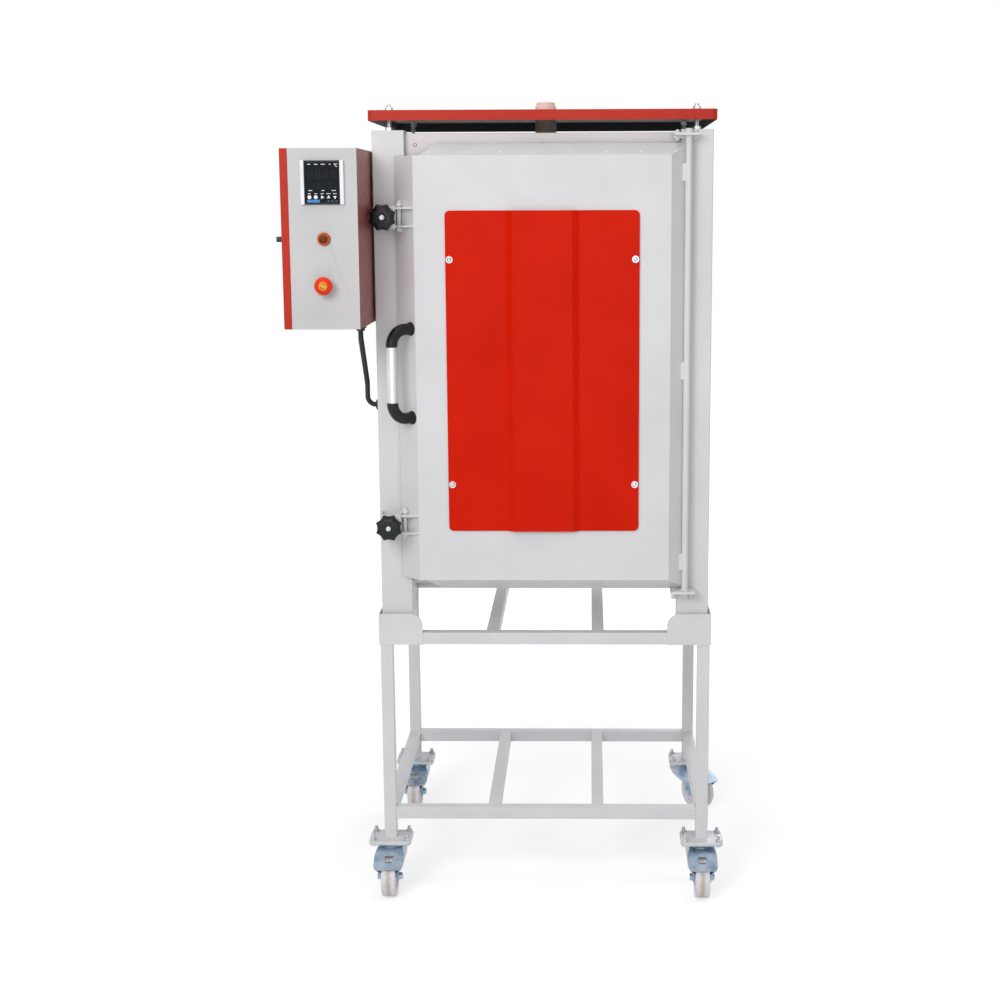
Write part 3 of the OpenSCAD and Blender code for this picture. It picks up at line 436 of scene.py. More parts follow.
@dataclass(frozen=True)
class WheelNylon(Finish):
    """White nylon wheel: a grey hub, and a worn strip round the middle of its tread."""

    centre: Point = (0.0, 0.0, 0.0)
    turn: float = 0.0
    tread: str = "#C8BEB4"
    strip: tuple[float, float] = (0.002, 0.009)
    uneven: float = 0.0015
    tread_from: tuple[float, float] = (0.0465, 0.049)
    hub: str = "#BFC2C6"
    hub_edge: tuple[float, float] = (0.0105, 0.0115)
    dirt: float = 120.0

    def paint(self, graph: Graph) -> None:
        """Wires the worn strip, the hub and a fine grain.

        Args:
            graph: the material's tree.
        """
        place = {"Vector": graph.vectors("SUBTRACT", graph.object, self.centre), "Angle": -self.turn}
        turned = graph.node("ShaderNodeVectorRotate", place, rotation_type="Z_AXIS").outputs[0]
        away = graph.from_axis(turned, (0.0, 1.0, 1.0))
        dirt = graph.noise(self.dirt, detail=4.0)
        self.lay(graph, self.tones(graph, dirt), dirt, graph.noise(self.grain))
        graph.cover(graph.spread(away, 1.0, 0.0, *self.hub_edge), self.hub)
        across = graph.maths("ABSOLUTE", graph.part(turned, "X"))
        ragged = graph.maths("ADD", across, graph.spread(dirt, -self.uneven, self.uneven))
        strip = graph.spread(ragged, 1.0, 0.0, *self.strip)
        outer = graph.spread(away, 0.0, 1.0, *self.tread_from)
        graph.cover(graph.maths("MULTIPLY", strip, outer), self.tread)


@dataclass(frozen=True)
class LensPlastic(Finish):
    """A round lens, from the shade in its middle through rings of other tones to the colour of its rim."""

    centre: Point = (0.0, 0.0, 0.0)
    reach: float = 0.0105
    rings: tuple[tuple[float, str], ...] = ((0.6, "#6A3808"), (0.84, "#5E2F08"), (0.96, "#B4461A"))
    uneven: float = 0.03
    dirt: float = 140.0

    def paint(self, graph: Graph) -> None:
        """Wires the rings, with a little noise in them.

        Args:
            graph: the material's tree.
        """
        away = graph.from_axis(graph.vectors("SUBTRACT", graph.object, self.centre), (1.0, 0.0, 1.0))
        dirt = graph.noise(self.dirt, detail=4.0)
        uneven = graph.spread(dirt, -self.uneven, self.uneven)
        place = graph.maths("ADD", graph.maths("DIVIDE", away, self.reach), uneven)
        colour = graph.ramp(place, [(0.0, self.shade), *self.rings, (1.0, self.colour)])
        self.lay(graph, colour, dirt, graph.noise(self.grain))


class JointPlane(Enum):
    """The plane in which a firebrick wall shows its joints, as Euler angles that lay it flat."""

    LEVEL = (0.0, 0.0, 0.0)
    ACROSS = (math.pi / 2, 0.0, 0.0)
    ALONG = (math.pi / 2, 0.0, math.pi / 2)


@dataclass(frozen=True)
class Firebrick(Finish):
    """Pale insulating brick with pores, specks and tight joints."""

    plane: JointPlane = JointPlane.ACROSS
    brick: tuple[float, float] = (0.23, 0.114)
    joint: float = 0.0009
    joint_depth: float = 1.2
    mortar: str = "#C9BBA0"
    speck: str = "#B99C6C"
    specks: float = 320.0
    pores: float = 420.0
    cloud: float = 50.0

    def paint(self, graph: Graph) -> None:
        """Wires bricks, joints, specks and pores.

        Args:
            graph: the material's tree.
        """
        place = {"Vector": graph.object, "Rotation": self.plane.value}
        turned = graph.node("ShaderNodeVectorRotate", place, rotation_type="EULER_XYZ", invert=True)
        wall = graph.node("ShaderNodeTexBrick", {
            "Vector": turned.outputs[0], "Scale": 1.0,
            "Brick Width": self.brick[0], "Row Height": self.brick[1],
            "Mortar Size": self.joint, "Mortar Smooth": 0.4, "Bias": 0.0, "Mortar": linear(self.mortar),
            "Color1": linear(self.colour), "Color2": linear(self.shade),
        }, offset=0.5)
        cells = {"Vector": graph.object, "Scale": self.pores}
        pores = graph.node("ShaderNodeTexVoronoi", cells, feature="F1")
        pits = graph.spread(pores.outputs["Distance"], 0.0, 1.0, 0.12, 0.45)
        height = graph.maths("MULTIPLY_ADD", wall.outputs["Fac"], -self.joint_depth, pits)
        self.lay(graph, wall.outputs["Color"], graph.noise(self.cloud), height)
        specks = graph.noise(self.specks, detail=3.0)
        graph.cover(graph.spread(specks, 0.0, 0.5, 0.6, 0.75), self.speck)


FINISHES = (
    Finish("light_paint", "#DFDFE1", "#D9D9DB", (0.34, 0.46), shine=0.45),
    BoxCoat("box_paint_with_painted_shade", "#CAC9CA", "#C3C2C3", (0.34, 0.46)),
    Finish("red_paint", "#D81E02", "#CF1A02", (0.36, 0.48), shine=0.07),
    # The two reds below are the door's red paint made duller and darker: painted shade in the colour of the
    # trim and roof
    Finish("red_trim_painted_shade", "#BE2F1E", "#B92C1C", (0.38, 0.5), shine=0.2),
    RoofCoat("roof_coat_painted_shade", "#BE2F1E", "#B92C1C", (0.38, 0.5), shine=0.2),
    BrushedMetal("collar_steel", "#C1BCBE", "#AFA9AC", (0.45, 0.62), 3.0),
    BrushedMetal("screw_steel", "#D9DADB", "#B9BBBE", (0.22, 0.38), 90.0, lines=(400.0, 400.0, 400.0)),
    BrushedMetal("grip_aluminium", "#EDEEF0", "#DADCDF", (0.3, 0.45), 20.0, lines=(700.0, 700.0, 5.0)),
    ZincPlate("blue_zinc", "#AEBFD2", "#7A92AE", (0.22, 0.42)),
    ZincPlate("bolt_zinc", "#CBD0D4", "#A9B0B8", (0.25, 0.4)),
    Finish("fibre_board", "#F2EFE8", "#E5E0D4", (0.85, 0.95), 30.0, 500.0, 0.0006),
    Finish("kiln_ceramic", "#F2E2D8", "#EBD6C8", (0.5, 0.7), 40.0, 600.0, 0.0001),
    Finish("coil_wire", "#6E655D", "#4F4842", (0.5, 0.7), 60.0, 800.0, 0.00008, metal=0.7),
    Finish("black_moulding", "#12151A", "#0C0F13", (0.34, 0.46), 30.0, 900.0, 0.00003, shine=0.3),
    Finish("dull_black", "#222224", "#19191B", (0.42, 0.58), 30.0, 900.0, 0.00005),
    Finish("hose_black", "#1D1D1F", "#141416", (0.45, 0.6), 30.0, 500.0, 0.00006),
    Finish("red_plastic", "#EE3A1A", "#E53315", (0.25, 0.36), 30.0, 900.0, 0.00002, shine=0.18),
    Finish("yellow_plastic", "#E8A90E", "#DB9C08", (0.3, 0.42), 40.0, 900.0, 0.00002),
    Finish("pale_moulding", "#F1F0F2", "#E6E5E9", (0.3, 0.42), 30.0, 900.0, 0.00002),
    Finish("white_print", "#F4F4F2", "#E9E9E6", (0.4, 0.55), 200.0, 900.0, 0.00001),
    Finish("blue_print", "#2C86C8", "#247BBC", (0.4, 0.55), 200.0, 900.0, 0.00001),
    Finish("dark_screen", "#101A22", "#0B131A", (0.36, 0.42), 12.0, 300.0, 0.000002, shine=0.08),
    Finish("unlit_segments", "#231D1F", "#1C1719", (0.35, 0.42), 60.0, 900.0, 0.00001, shine=0.12),
)


class Tree:
    """A Geometry Nodes tree with named inputs."""

    def __init__(self, name: str, **inputs: object) -> None:
        """Makes the tree with its geometry sockets and its named inputs.

        Args:
            name: the tree's name.
            inputs: a default number for a size or a count, or the kind, such as "Material", of another input.
        """
        self.group = bpy.data.node_groups.new(name, "GeometryNodeTree")
        for way in ("OUTPUT", "INPUT"):
            self.group.interface.new_socket("Geometry", in_out=way, socket_type="NodeSocketGeometry")
        self.sockets: dict[str, str] = {}
        for key, value in inputs.items():
            kind = value if isinstance(value, str) else type(value).__name__.capitalize()
            made = self.group.interface.new_socket(key, in_out="INPUT", socket_type=f"NodeSocket{kind}")
            if kind != value:
                made.default_value = value
            self.sockets[key] = made.identifier
        self.start = self.group.nodes.new("NodeGroupInput")
        self.end = self.group.nodes.new("NodeGroupOutput")

    def node(self, kind: str, settings: dict[str, object] | None = None, **inputs: object) -> bpy.types.Node:
        """Adds a node and fills its inputs.

        Args:
            kind: the node's type, without its prefix where that is GeometryNode.
            settings: values for its properties.
            inputs: names with underscores for spaces, or "at" and a number, with what feeds them.

        Returns:
            The node.
        """
        whole = kind.startswith(("Function", "Shader"))
        made = self.group.nodes.new(kind if whole else f"GeometryNode{kind}")
        for key, value in (settings or {}).items():
            setattr(made, key, value)
        for key, value in inputs.items():
            numbered = key.startswith("at") and key[2:].isdigit()
            self.feed(made.inputs[int(key[2:]) if numbered else key.replace("_", " ")], value)
        return made

    def feed(self, socket: Socket, value: object) -> None:
        """Links or sets an input.

        Args:
            socket: the input.
            value: an output socket, a node whose first output is meant, a tree input's name or a constant.
        """
        if isinstance(value, bpy.types.Node):
            value = value.outputs[0]
        if isinstance(value, str) and value in self.sockets:
            value = self.start.outputs[value]
        if isinstance(value, Socket):
            self.group.links.new(value, socket)
        else:
            socket.default_value = value

    def smooth(self, geometry: object) -> bpy.types.Node:
        """Shades the faces of a geometry smooth."""
        return self.node("SetShadeSmooth", {"domain": "FACE"}, Geometry=geometry, Shade_Smooth=True)

    def at_points(self, shape: object) -> "Tree":
        """Sets a shape at each of the host's points, its +Z along the point's aim, and ends the tree.

        Args:
            shape: the node or output of the shape.

        Returns:
            This tree.
        """
        aim = self.node("InputNamedAttribute", {"data_type": "FLOAT_VECTOR"}, Name="aim")
        turn = self.node("FunctionNodeAlignRotationToVector", {"axis": "Z"}, Vector=aim)
        points = self.start.outputs[0]
        return self.close(self.node("InstanceOnPoints", Points=points, Instance=shape, Rotation=turn))

    def close(self, geometry: bpy.types.Node) -> "Tree":
        """Ends the tree in Realize Instances and Set Material.

        Args:
            geometry: the last node of the shape.

        Returns:
            This tree.
        """
        plain = self.node("RealizeInstances", Geometry=geometry)
        self.feed(self.end.inputs[0], self.node("SetMaterial", Geometry=plain, Material="Material"))
        return self

    def run(self, base: Thing, **values: object) -> Thing:
        """Runs the tree on a host mesh and leaves a plain mesh.

        Args:
            base: the object whose mesh is the input.
            values: the inputs by name.

        Returns:
            The same object with its new mesh.
        """
        modifier = base.modifiers.new(self.group.name, "NODES")
        modifier.node_group = self.group
        for key, value in values.items():
            modifier[self.sockets[key]] = value
        bpy.context.view_layer.update()
        graph = bpy.context.evaluated_depsgraph_get()
        mesh = bpy.data.meshes.new_from_object(base.evaluated_get(graph), depsgraph=graph)
        base.modifiers.remove(modifier)
        base.data = mesh
        return base


def host(name: str, points: Sequence[Vector], aims: Sequence[Vector] = ()) -> Thing:
    """A mesh for a tree to work on: points with the attribute aim, or without aims one chain of edges.

    Args:
        name: the piece's name.
        points: the places in metres.
        aims: directions of the pieces that go there.

    Returns:
        The host object.
    """
    mesh = bpy.data.meshes.new(name)
    chain = [] if aims else [(i, i + 1) for i in range(len(points) - 1)]
    mesh.from_pydata([tuple(point) for point in points], chain, [])
    if aims:
        attribute = mesh.attributes.new("aim", "FLOAT_VECTOR", "POINT")
        attribute.data.foreach_set("vector", [part for aim in aims for part in aim])
    return add_object(name, mesh)


def soft_edge_tree() -> bpy.types.NodeTree:
    """Tree that shades a mesh smooth, but for its sharp edges.

    Returns:
        The node group.
    """
    tree = Tree("soft_edges", Angle=math.radians(26))
    compare = {"operation": "GREATER_THAN", "data_type": "FLOAT"}
    sharp = tree.node("FunctionNodeCompare", compare, at0=tree.node("InputMeshEdgeAngle"), at1="Angle")
    faces = tree.smooth(tree.start.outputs[0])
    flat = {"Selection": sharp, "Shade_Smooth": False}
    edges = tree.node("SetShadeSmooth", {"domain": "EDGE"}, Geometry=faces, **flat)
    tree.feed(tree.end.inputs[0], edges)
    return tree.group


def set_out_tree() -> Tree:
    """Tree that sets an object at each point, its +Z along the point's aim.

    Returns:
        The tree.
    """
    tree = Tree("set_out", Piece="Object", Material="Material")
    piece = tree.node("ObjectInfo", {"transform_space": "ORIGINAL"}, Object="Piece")
    return tree.at_points(piece.outputs["Geometry"])


def winding_tree() -> Tree:
    """Tree that winds a wire helix at each point, along the point's aim.

    Returns:
        The tree.
    """
    tree = Tree(
        "winding", Turns=10.0, Radius=0.006, Wire=0.001, Length=0.1, Steps=12, Sides=6, Material="Material",
    )
    sizes = {"Resolution": "Steps", "Rotations": "Turns", "Height": "Length"}
    spiral = tree.node("CurveSpiral", Start_Radius="Radius", End_Radius="Radius", **sizes)
    wire = tree.node("CurvePrimitiveCircle", Resolution="Sides", Radius="Wire")
    wound = tree.node("CurveToMesh", Curve=spiral, Profile_Curve=wire, Fill_Caps=True)
    return tree.at_points(tree.smooth(wound))


def ribbed_hose_tree(steps: int = 6, sides: int = 18) -> Tree:
    """Tree that lays a ribbed hose along a chain of edges.

    Args:
        steps: rings of points in each rib.
        sides: points round the hose.

    Returns:
        The tree.
    """
    tree = Tree("ribbed_hose", Radius=0.0065, Rib=0.0006, Pitch=0.004, Material="Material")
    add, times = {"operation": "MULTIPLY_ADD"}, {"operation": "MULTIPLY"}
    line = tree.node("MeshToCurve", Mesh=tree.start.outputs[0])
    step = tree.node("ShaderNodeMath", {"operation": "DIVIDE"}, at0="Pitch", at1=float(steps))
    even = tree.node("ResampleCurve", {"mode": "LENGTH"}, Curve=line, Length=step)
    phase = tree.node("ShaderNodeMath", times, at0=tree.node("InputIndex"), at1=math.tau / steps)
    wave = tree.node("ShaderNodeMath", {"operation": "COSINE"}, at0=phase)
    half = tree.node("ShaderNodeMath", add, at0=wave, at1=0.5, at2=-0.5)
    swing = tree.node("ShaderNodeMath", add, at0=half, at1="Rib", at2="Radius")
    sized = tree.node("SetCurveRadius", Curve=even, Radius=swing)
    ring = tree.node("CurvePrimitiveCircle", Resolution=sides, Radius=1.0)
    width = tree.node("InputRadius")
    hose = tree.node("CurveToMesh", Curve=sized, Profile_Curve=ring, Scale=width, Fill_Caps=True)
    return tree.close(tree.smooth(hose))


class Workshop:
    """Makes pieces out of meshes, with one set of looks and trees, and hands them to the frame.

    Attributes:
        MERGE: how close, in metres, points of loose triangles lie to be joined.
        BEND: the angle in degrees from which an edge is rounded.
    """

    MERGE = 2e-6
    BEND = 40

    def __init__(self) -> None:
        """Builds the looks and the trees."""
        self.looks: dict[str, bpy.types.Material] = {}
        for finish in FINISHES:
            self.add_look(finish)
        self.edges = soft_edge_tree()
        self.set_out = set_out_tree()
        self.windings = winding_tree()
        self.hoses = ribbed_hose_tree()

    def add_look(self, finish: Finish) -> str:
        """Builds one more finish and gives its name."""
        self.looks[finish.name] = finish.material()
        return finish.name

    def piece(self, name: str, work: Mesh, look: str, smooth: bool = True, width: float = 0.0) -> Thing:
        """Turns a bmesh into an object at the origin.

        Args:
            name: the piece's name.
            work: its mesh, freed here.
            look: its finish.
            smooth: whether faces are shaded smooth up to the soft edge angle.
            width: bevel width in metres, or 0 for none.

        Returns:
            The object.
        """
        mesh = bpy.data.meshes.new(name)
        bmesh.ops.remove_doubles(work, verts=work.verts, dist=1e-6)
        bmesh.ops.recalc_face_normals(work, faces=work.faces)
        work.to_mesh(mesh)
        work.free()
        mesh.materials.append(self.looks[look])
        made = add_object(name, mesh)
        if smooth:
            self.soften(made, width)
        return made

    def soften(self, target: Thing, width: float, merge: bool = False) -> None:
        """Adds the modifiers that round a hard piece's edges and smooth its curves.

        Args:
            target: a piece or CAD node.
            width: bevel width in metres, or 0 for none.
            merge: whether its loose triangles are joined first.
        """
        if merge:
            weld = target.modifiers.new("join_triangles", "WELD")
            weld.merge_threshold = self.MERGE
        if width:
            bevel = target.modifiers.new("edge_round", "BEVEL")
            bevel.width = width
            bevel.segments = 2
            bevel.limit_method = "ANGLE"
            bevel.angle_limit = math.radians(self.BEND)
            bevel.use_clamp_overlap = True
            bevel.miter_outer = "MITER_ARC"
        smooth = target.modifiers.new("soft_edges", "NODES")
        smooth.node_group = self.edges
        if width:
            flat = target.modifiers.new("flat_faces", "WEIGHTED_NORMAL")
            flat.keep_sharp = True

    def wind(
        self, name: str, look: str, starts: Sequence[Vector], aim: Point, length: float, pitch: float,
        **sizes: float,
    ) -> Thing:
        """Winds a helix from each of several points.

        Args:
            name: the piece's name.
            look: its finish.
            starts: where the helices begin.
            aim: the direction that they all take.
            length: of each, in millimetres.
            pitch: from one turn to the next, in millimetres.
            sizes: the tree's other inputs.

        Returns:
            The object.
        """
        base = host(name, starts, [Vector(aim)] * len(starts))
        sizes |= {"Turns": length / pitch, "Length": length / 1000}
        return self.windings.run(base, Material=self.looks[look], **sizes)

    def scatter(self, name: str, look: str, pattern: Thing, places: Sequence[tuple[Vector, Vector]]) -> Thing:
        """Sets a pattern out at several points.

        Args:
            name: the piece's name.
            look: its finish.
            pattern: the object that is repeated, made around local +Z.
            places: each point with its aim.

        Returns:
            The object.
        """
        base = host(name, *zip(*places))
        return self.set_out.run(base, Piece=pattern, Material=self.looks[look])

    def give(self, made: Thing, body: str, slot: str, *stands_for: str) -> None:
        """Hands a finished piece to the frame.

        Args:
            made: the piece.
            body: the CAD body it rides on.
            slot: a material slot's name; not used.
            stands_for: CAD nodes that it replaces.
        """
        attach(made, body)
        if stands_for:
            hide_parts(*stands_for)
        LOG.info("%s rides on %s", made.name, body)


def orient(at: Vector, along: Point) -> Matrix:
    """Puts a shape that was made around local +Z somewhere else.

    Args:
        at: where its own origin goes, in metres.
        along: where its +Z points.

    Returns:
        The matrix.
    """
    return Matrix.Translation(at) @ Vector(along).to_track_quat("Z", "Y").to_matrix().to_4x4()


def facing(x: float, y: float, z: float) -> Matrix:
    """Place on a front face: local x to the right, local y up and local z towards the viewer.

    Args:
        x: in the kiln's millimetres.
        y: in the kiln's millimetres.
        z: in the kiln's millimetres.

    Returns:
        The matrix.
    """
    return Matrix.Translation(metres(x, y, z)) @ Matrix.Rotation(math.pi / 2, 4, "X")


def lathe(work: Mesh, profile: Outline, place: Matrix, steps: int, shape: Lobes | None = None) -> None:
    """Turns a profile around local +Z and closes its ends.

    Args:
        work: the mesh that it is added to.
        profile: radius and height pairs in millimetres, from one end to the other.
        place: where local +Z goes.
        steps: points round the axis.
        shape: factor on the radius for an angle and a radius, for lobed pieces.
    """
    rings = []
    for radius, height in profile:
        if radius <= 0:
            rings.append([work.verts.new(place @ Vector((0, 0, height / 1000)))])
            continue
        ring = []
        for k in range(steps):
            a = math.tau * k / steps
            r = radius * (shape(a, radius) if shape else 1.0) / 1000
            ring.append(work.verts.new(place @ Vector((r * math.cos(a), r * math.sin(a), height / 1000))))
        rings.append(ring)
    for low, high in zip(rings, rings[1:]):
        for k in range(steps):
            n = (k + 1) % steps
            if len(low) == 1:
                work.faces.new((low[0], high[k], high[n]))
            elif len(high) == 1:
                work.faces.new((low[k], low[n], high[0]))
            else:
                work.faces.new((low[k], low[n], high[n], high[k]))
    for ring in (rings[0], rings[-1]):
        if len(ring) > 1:
            work.faces.new(ring)


def slab(work: Mesh, outline: Outline, low: float, high: float, place: Matrix) -> None:
    """Raises a flat outline into a prism.

    Args:
        work: the mesh that it is added to.
        outline: points in millimetres, round the shape.
        low: height of its bottom in millimetres.
        high: height of its top in millimetres.
        place: where local +Z goes.
    """
    bottom, top = (
        [work.verts.new(place @ Vector((x / 1000, y / 1000, z / 1000))) for x, y in outline]
        for z in (low, high)
    )
    for k in range(len(outline)):
        n = (k + 1) % len(outline)
        work.faces.new((bottom[k], bottom[n], top[n], top[k]))
    work.faces.new(bottom[::-1])
    work.faces.new(top)


def arc(radius: float, first: float, step: float, count: int, x: float = 0.0, y: float = 0.0) -> Outline:
    """Points along a circle.

    Args:
        radius: in millimetres.
        first: angle of the first point, in degrees.
        step: angle between two points.
        count: number of points.
        x: the circle's middle.
        y: the circle's middle.

    Returns:
        The points.
    """
    angles = [math.radians(first + step * k) for k in range(count)]
    return [(x + radius * math.cos(a), y + radius * math.sin(a)) for a in angles]


def disc(radius: float, steps: int, x: float = 0.0, y: float = 0.0) -> Outline:
    """Outline of a circle of so many points around x and y."""
    return arc(radius, 0.0, 360 / steps, steps, x, y)


def bow(
    outer: float, inner: float, first: float, step: float, count: int, x: float = 0.0, y: float = 0.0
) -> Outline:
    """Outline of a bar bent round a circle.

    Args:
        outer: its outer radius in millimetres.
        inner: its inner radius.
        first: angle of its beginning, in degrees.
        step: angle between two points.
        count: points along each side.
        x: the circle's middle.
        y: the circle's middle.

    Returns:
        The points round it.
    """
    return arc(outer, first, step, count, x, y) + arc(inner, first, step, count, x, y)[::-1]


def round_rectangle(
    width: float, height: float, radius: float, steps: int, x: float = 0.0, y: float = 0.0
) -> Outline:
    """Outline of a rectangle with round corners.

    Args:
        width: along x, in millimetres.
        height: along y, in millimetres.
        radius: of the corners, in millimetres.
        steps: pieces of each corner's arc.
        x: place of its middle.
        y: place of its middle.

    Returns:
        The points round it.
    """
    points = []
    for quarter, (sx, sy) in enumerate([(1, 1), (-1, 1), (-1, -1), (1, -1)]):
        corner = (x + sx * (width / 2 - radius), y + sy * (height / 2 - radius))
        points += arc(radius, 90 * quarter, 90 / steps, steps + 1, *corner)
    return points


@dataclass
class Assembly:
    """A group of the kiln's pieces, made in one workshop."""

    shop: Workshop

    def build(self) -> None:
        """Makes the pieces and hands them to the frame."""
        raise NotImplementedError


@dataclass
class Castors(Assembly):
    """Four castors: zinc forks and plates as packed, wheels with worn treads, threaded bolt ends."""

    leg_x: float = 390.0
    leg_front: float = 5.0
    leg_back: float = 615.0
    axle_z: float = 50.0
    trail: float = 45.0
    rear_turn: float = 40.0
    bolt_dx: float = 84.0
    bolt_dy: float = 60.0
    bolt_d: float = 8.0
    thread_from: float = 144.6
    thread_to: float = 152.6
    pitch: float = 1.25
    ridge_r: float = 0.4

    def places(self) -> list[Point]:
        """Each castor's swivel axis and turn: front left, front right, rear left, rear right."""
        turns = (0.0, 0.0, 0.0, math.radians(self.rear_turn))
        axes = [(sx * self.leg_x, y) for y in (self.leg_front, self.leg_back) for sx in SIDES]
        return [(x, y, turn) for (x, y), turn in zip(axes, turns)]

    def nylon(self, number: int) -> WheelNylon:
        """White nylon with a worn tread.

        Args:
            number: the castor's number.

        Returns:
            The wheel's finish.
        """
        x, y, turn = self.places()[number]
        axle = metres(x + self.trail * math.sin(turn), y - self.trail * math.cos(turn), self.axle_z)
        name = f"nylon_{number}"
        return WheelNylon(name, "#EDEAEF", "#E2DEE6", (0.32, 0.5), grain=900.0, centre=tuple(axle), turn=turn)

    def build(self) -> None:
        """Winds threads on the plate bolts."""
        starts = [
            metres(x + sx * self.bolt_dx / 2, y + sy * self.bolt_dy / 2, self.thread_from)
            for x, y, _ in self.places() for sx, sy in product(SIDES, SIDES)
        ]
        threads = self.shop.wind(
            "plate_bolt_threads", "bolt_zinc", starts, UPWARD, self.thread_to - self.thread_from,
            pitch=self.pitch, Radius=self.bolt_d / 2 / 1000, Wire=self.ridge_r / 1000, Steps=14, Sides=4,
        )
        self.shop.give(threads, "kiln", "zinc")


@dataclass
class Screws(Assembly):
    """Socket screws with washers on the door's red panel and on the side and rear covers."""

    shank: float = 2.6
    washer: float = 8.4
    washer_h: float = 1.5
    head: float = 5.4
    dome: float = 2.6
    socket: float = 2.2
    socket_floor: float = 2.8
    panel_x: float = 217.5
    panel_y: float = -56.5
    panel_z: float = 1313.0
    panel_rise: float = 266.0
    cover_x: float = 402.0
    cover_mid_y: float = 310.0
    cover_y: float = 190.5
    cover_z: float = 1330.0
    cover_rise: float = 364.0
    rear_x: float = 282.5
    rear_y: float = 611.5
    rear_rise: float = 400.0

    def pattern(self) -> Thing:
        """One screw around the origin, which is taken away after the last use.

        Returns:
            The pattern.
        """
        work = bmesh.new()
        top, bevel = self.washer_h, self.washer - 0.4
        washer = [(bevel, 0), (self.washer, 0.3), (self.washer, top - 0.3), (bevel, top)]
        lathe(work, [(self.shank, 0), *washer, (self.shank, top)], Matrix.Identity(4), 32)
        angles = [math.pi / 2 * k / 7 for k in range(6)]
        dome = [(self.head * math.cos(a), top + 0.6 + self.dome * math.sin(a)) for a in angles]
        socket = [(self.socket, 4.55), (self.socket - 0.15, self.socket_floor + 0.2), (0, self.socket_floor)]
        foot = [(self.shank, top), (self.head - 0.3, top), (self.head, top + 0.3)]
        lathe(work, foot + dome + socket, Matrix.Identity(4), 30)
        return self.shop.piece("screw_pattern", work, "screw_steel")

    def build(self) -> None:
        """Sets the screws out, one piece for each body."""
        pattern = self.pattern()
        door = [
            (metres(sx * self.panel_x, self.panel_y, self.panel_z + sz * self.panel_rise), Vector(FORWARD))
            for sx, sz in product(SIDES, SIDES)
        ]
        heads = self.shop.scatter("panel_screw_heads", "screw_steel", pattern, door)
        self.shop.give(heads, "door", "stainless", "panel_screws")
        covers = []
        for sx, sy, sz in product(SIDES, SIDES, SIDES):
            y, z = self.cover_mid_y + sy * self.cover_y, self.cover_z + sz * self.cover_rise
            covers.append((metres(sx * self.cover_x, y, z), Vector((sx, 0, 0))))
        for sx, sz in product(SIDES, (-1, 0, 1)):
            at = metres(sx * self.rear_x, self.rear_y, self.cover_z + sz * self.rear_rise)
            covers.append((at, Vector(BACKWARD)))
        heads = self.shop.scatter("cover_screw_heads", "screw_steel", pattern, covers)
        self.shop.give(heads, "kiln", "stainless", "cover_screws")
        bpy.data.objects.remove(pattern)


@dataclass
class Chamber(Assembly):
    """The heating coils, wound as wire, with their tails and front links."""

    coil_x: float = 259.0
    start: float = 66.5
    end: float = 443.5
    floor: float = 923.5
    height: float = 810.0
    rows: int = 6
    coil_r: float = 8.0
    wire_r: float = 1.5
    pitch: float = 5.6
    tail_r: float = 3.6
    tail_end: float = 634.0
    overlap: float = 2.0
    link_r: float = 2.5

    def along_row(self, side: int, y: float, row: int) -> Vector:
        """Point on the axis of a coil, for a side of the chamber, a depth and a row."""
        return metres(side * self.coil_x, y, self.floor + (row + 0.5) * self.height / self.rows)

    def build(self) -> None:
        """Winds the coils, and turns their tails and links."""
        starts = [self.along_row(sx, self.start, row) for sx, row in product(SIDES, range(self.rows))]
        coils = self.shop.wind(
            "coil_windings", "coil_wire", starts, BACKWARD, self.end - self.start, pitch=self.pitch,
            Radius=(self.coil_r - self.wire_r) / 1000, Wire=self.wire_r / 1000, Steps=12, Sides=6,
        )
        self.shop.give(coils, "kiln", "coil_wire", "heating_coils")
        work = bmesh.new()
        tail = self.tail_end - self.end + self.overlap
        link = self.height / self.rows
        for sx, row in product(SIDES, range(self.rows)):
            back = orient(self.along_row(sx, self.end - self.overlap, row), BACKWARD)
            r = self.tail_r
            lathe(work, [(0, 0), (r, 0.8), (r, tail - 1), (r - 1, tail), (0, tail)], back, 16)
            if row % 2 == 0:
                low = orient(self.along_row(sx, self.start + self.coil_r, row), UPWARD)
                lathe(work, [(0, 0), (self.link_r, 0.5), (self.link_r, link - 0.5), (0, link)], low, 12)
        self.shop.give(self.shop.piece("coil_tails", work, "coil_wire"), "kiln", "coil_wire")


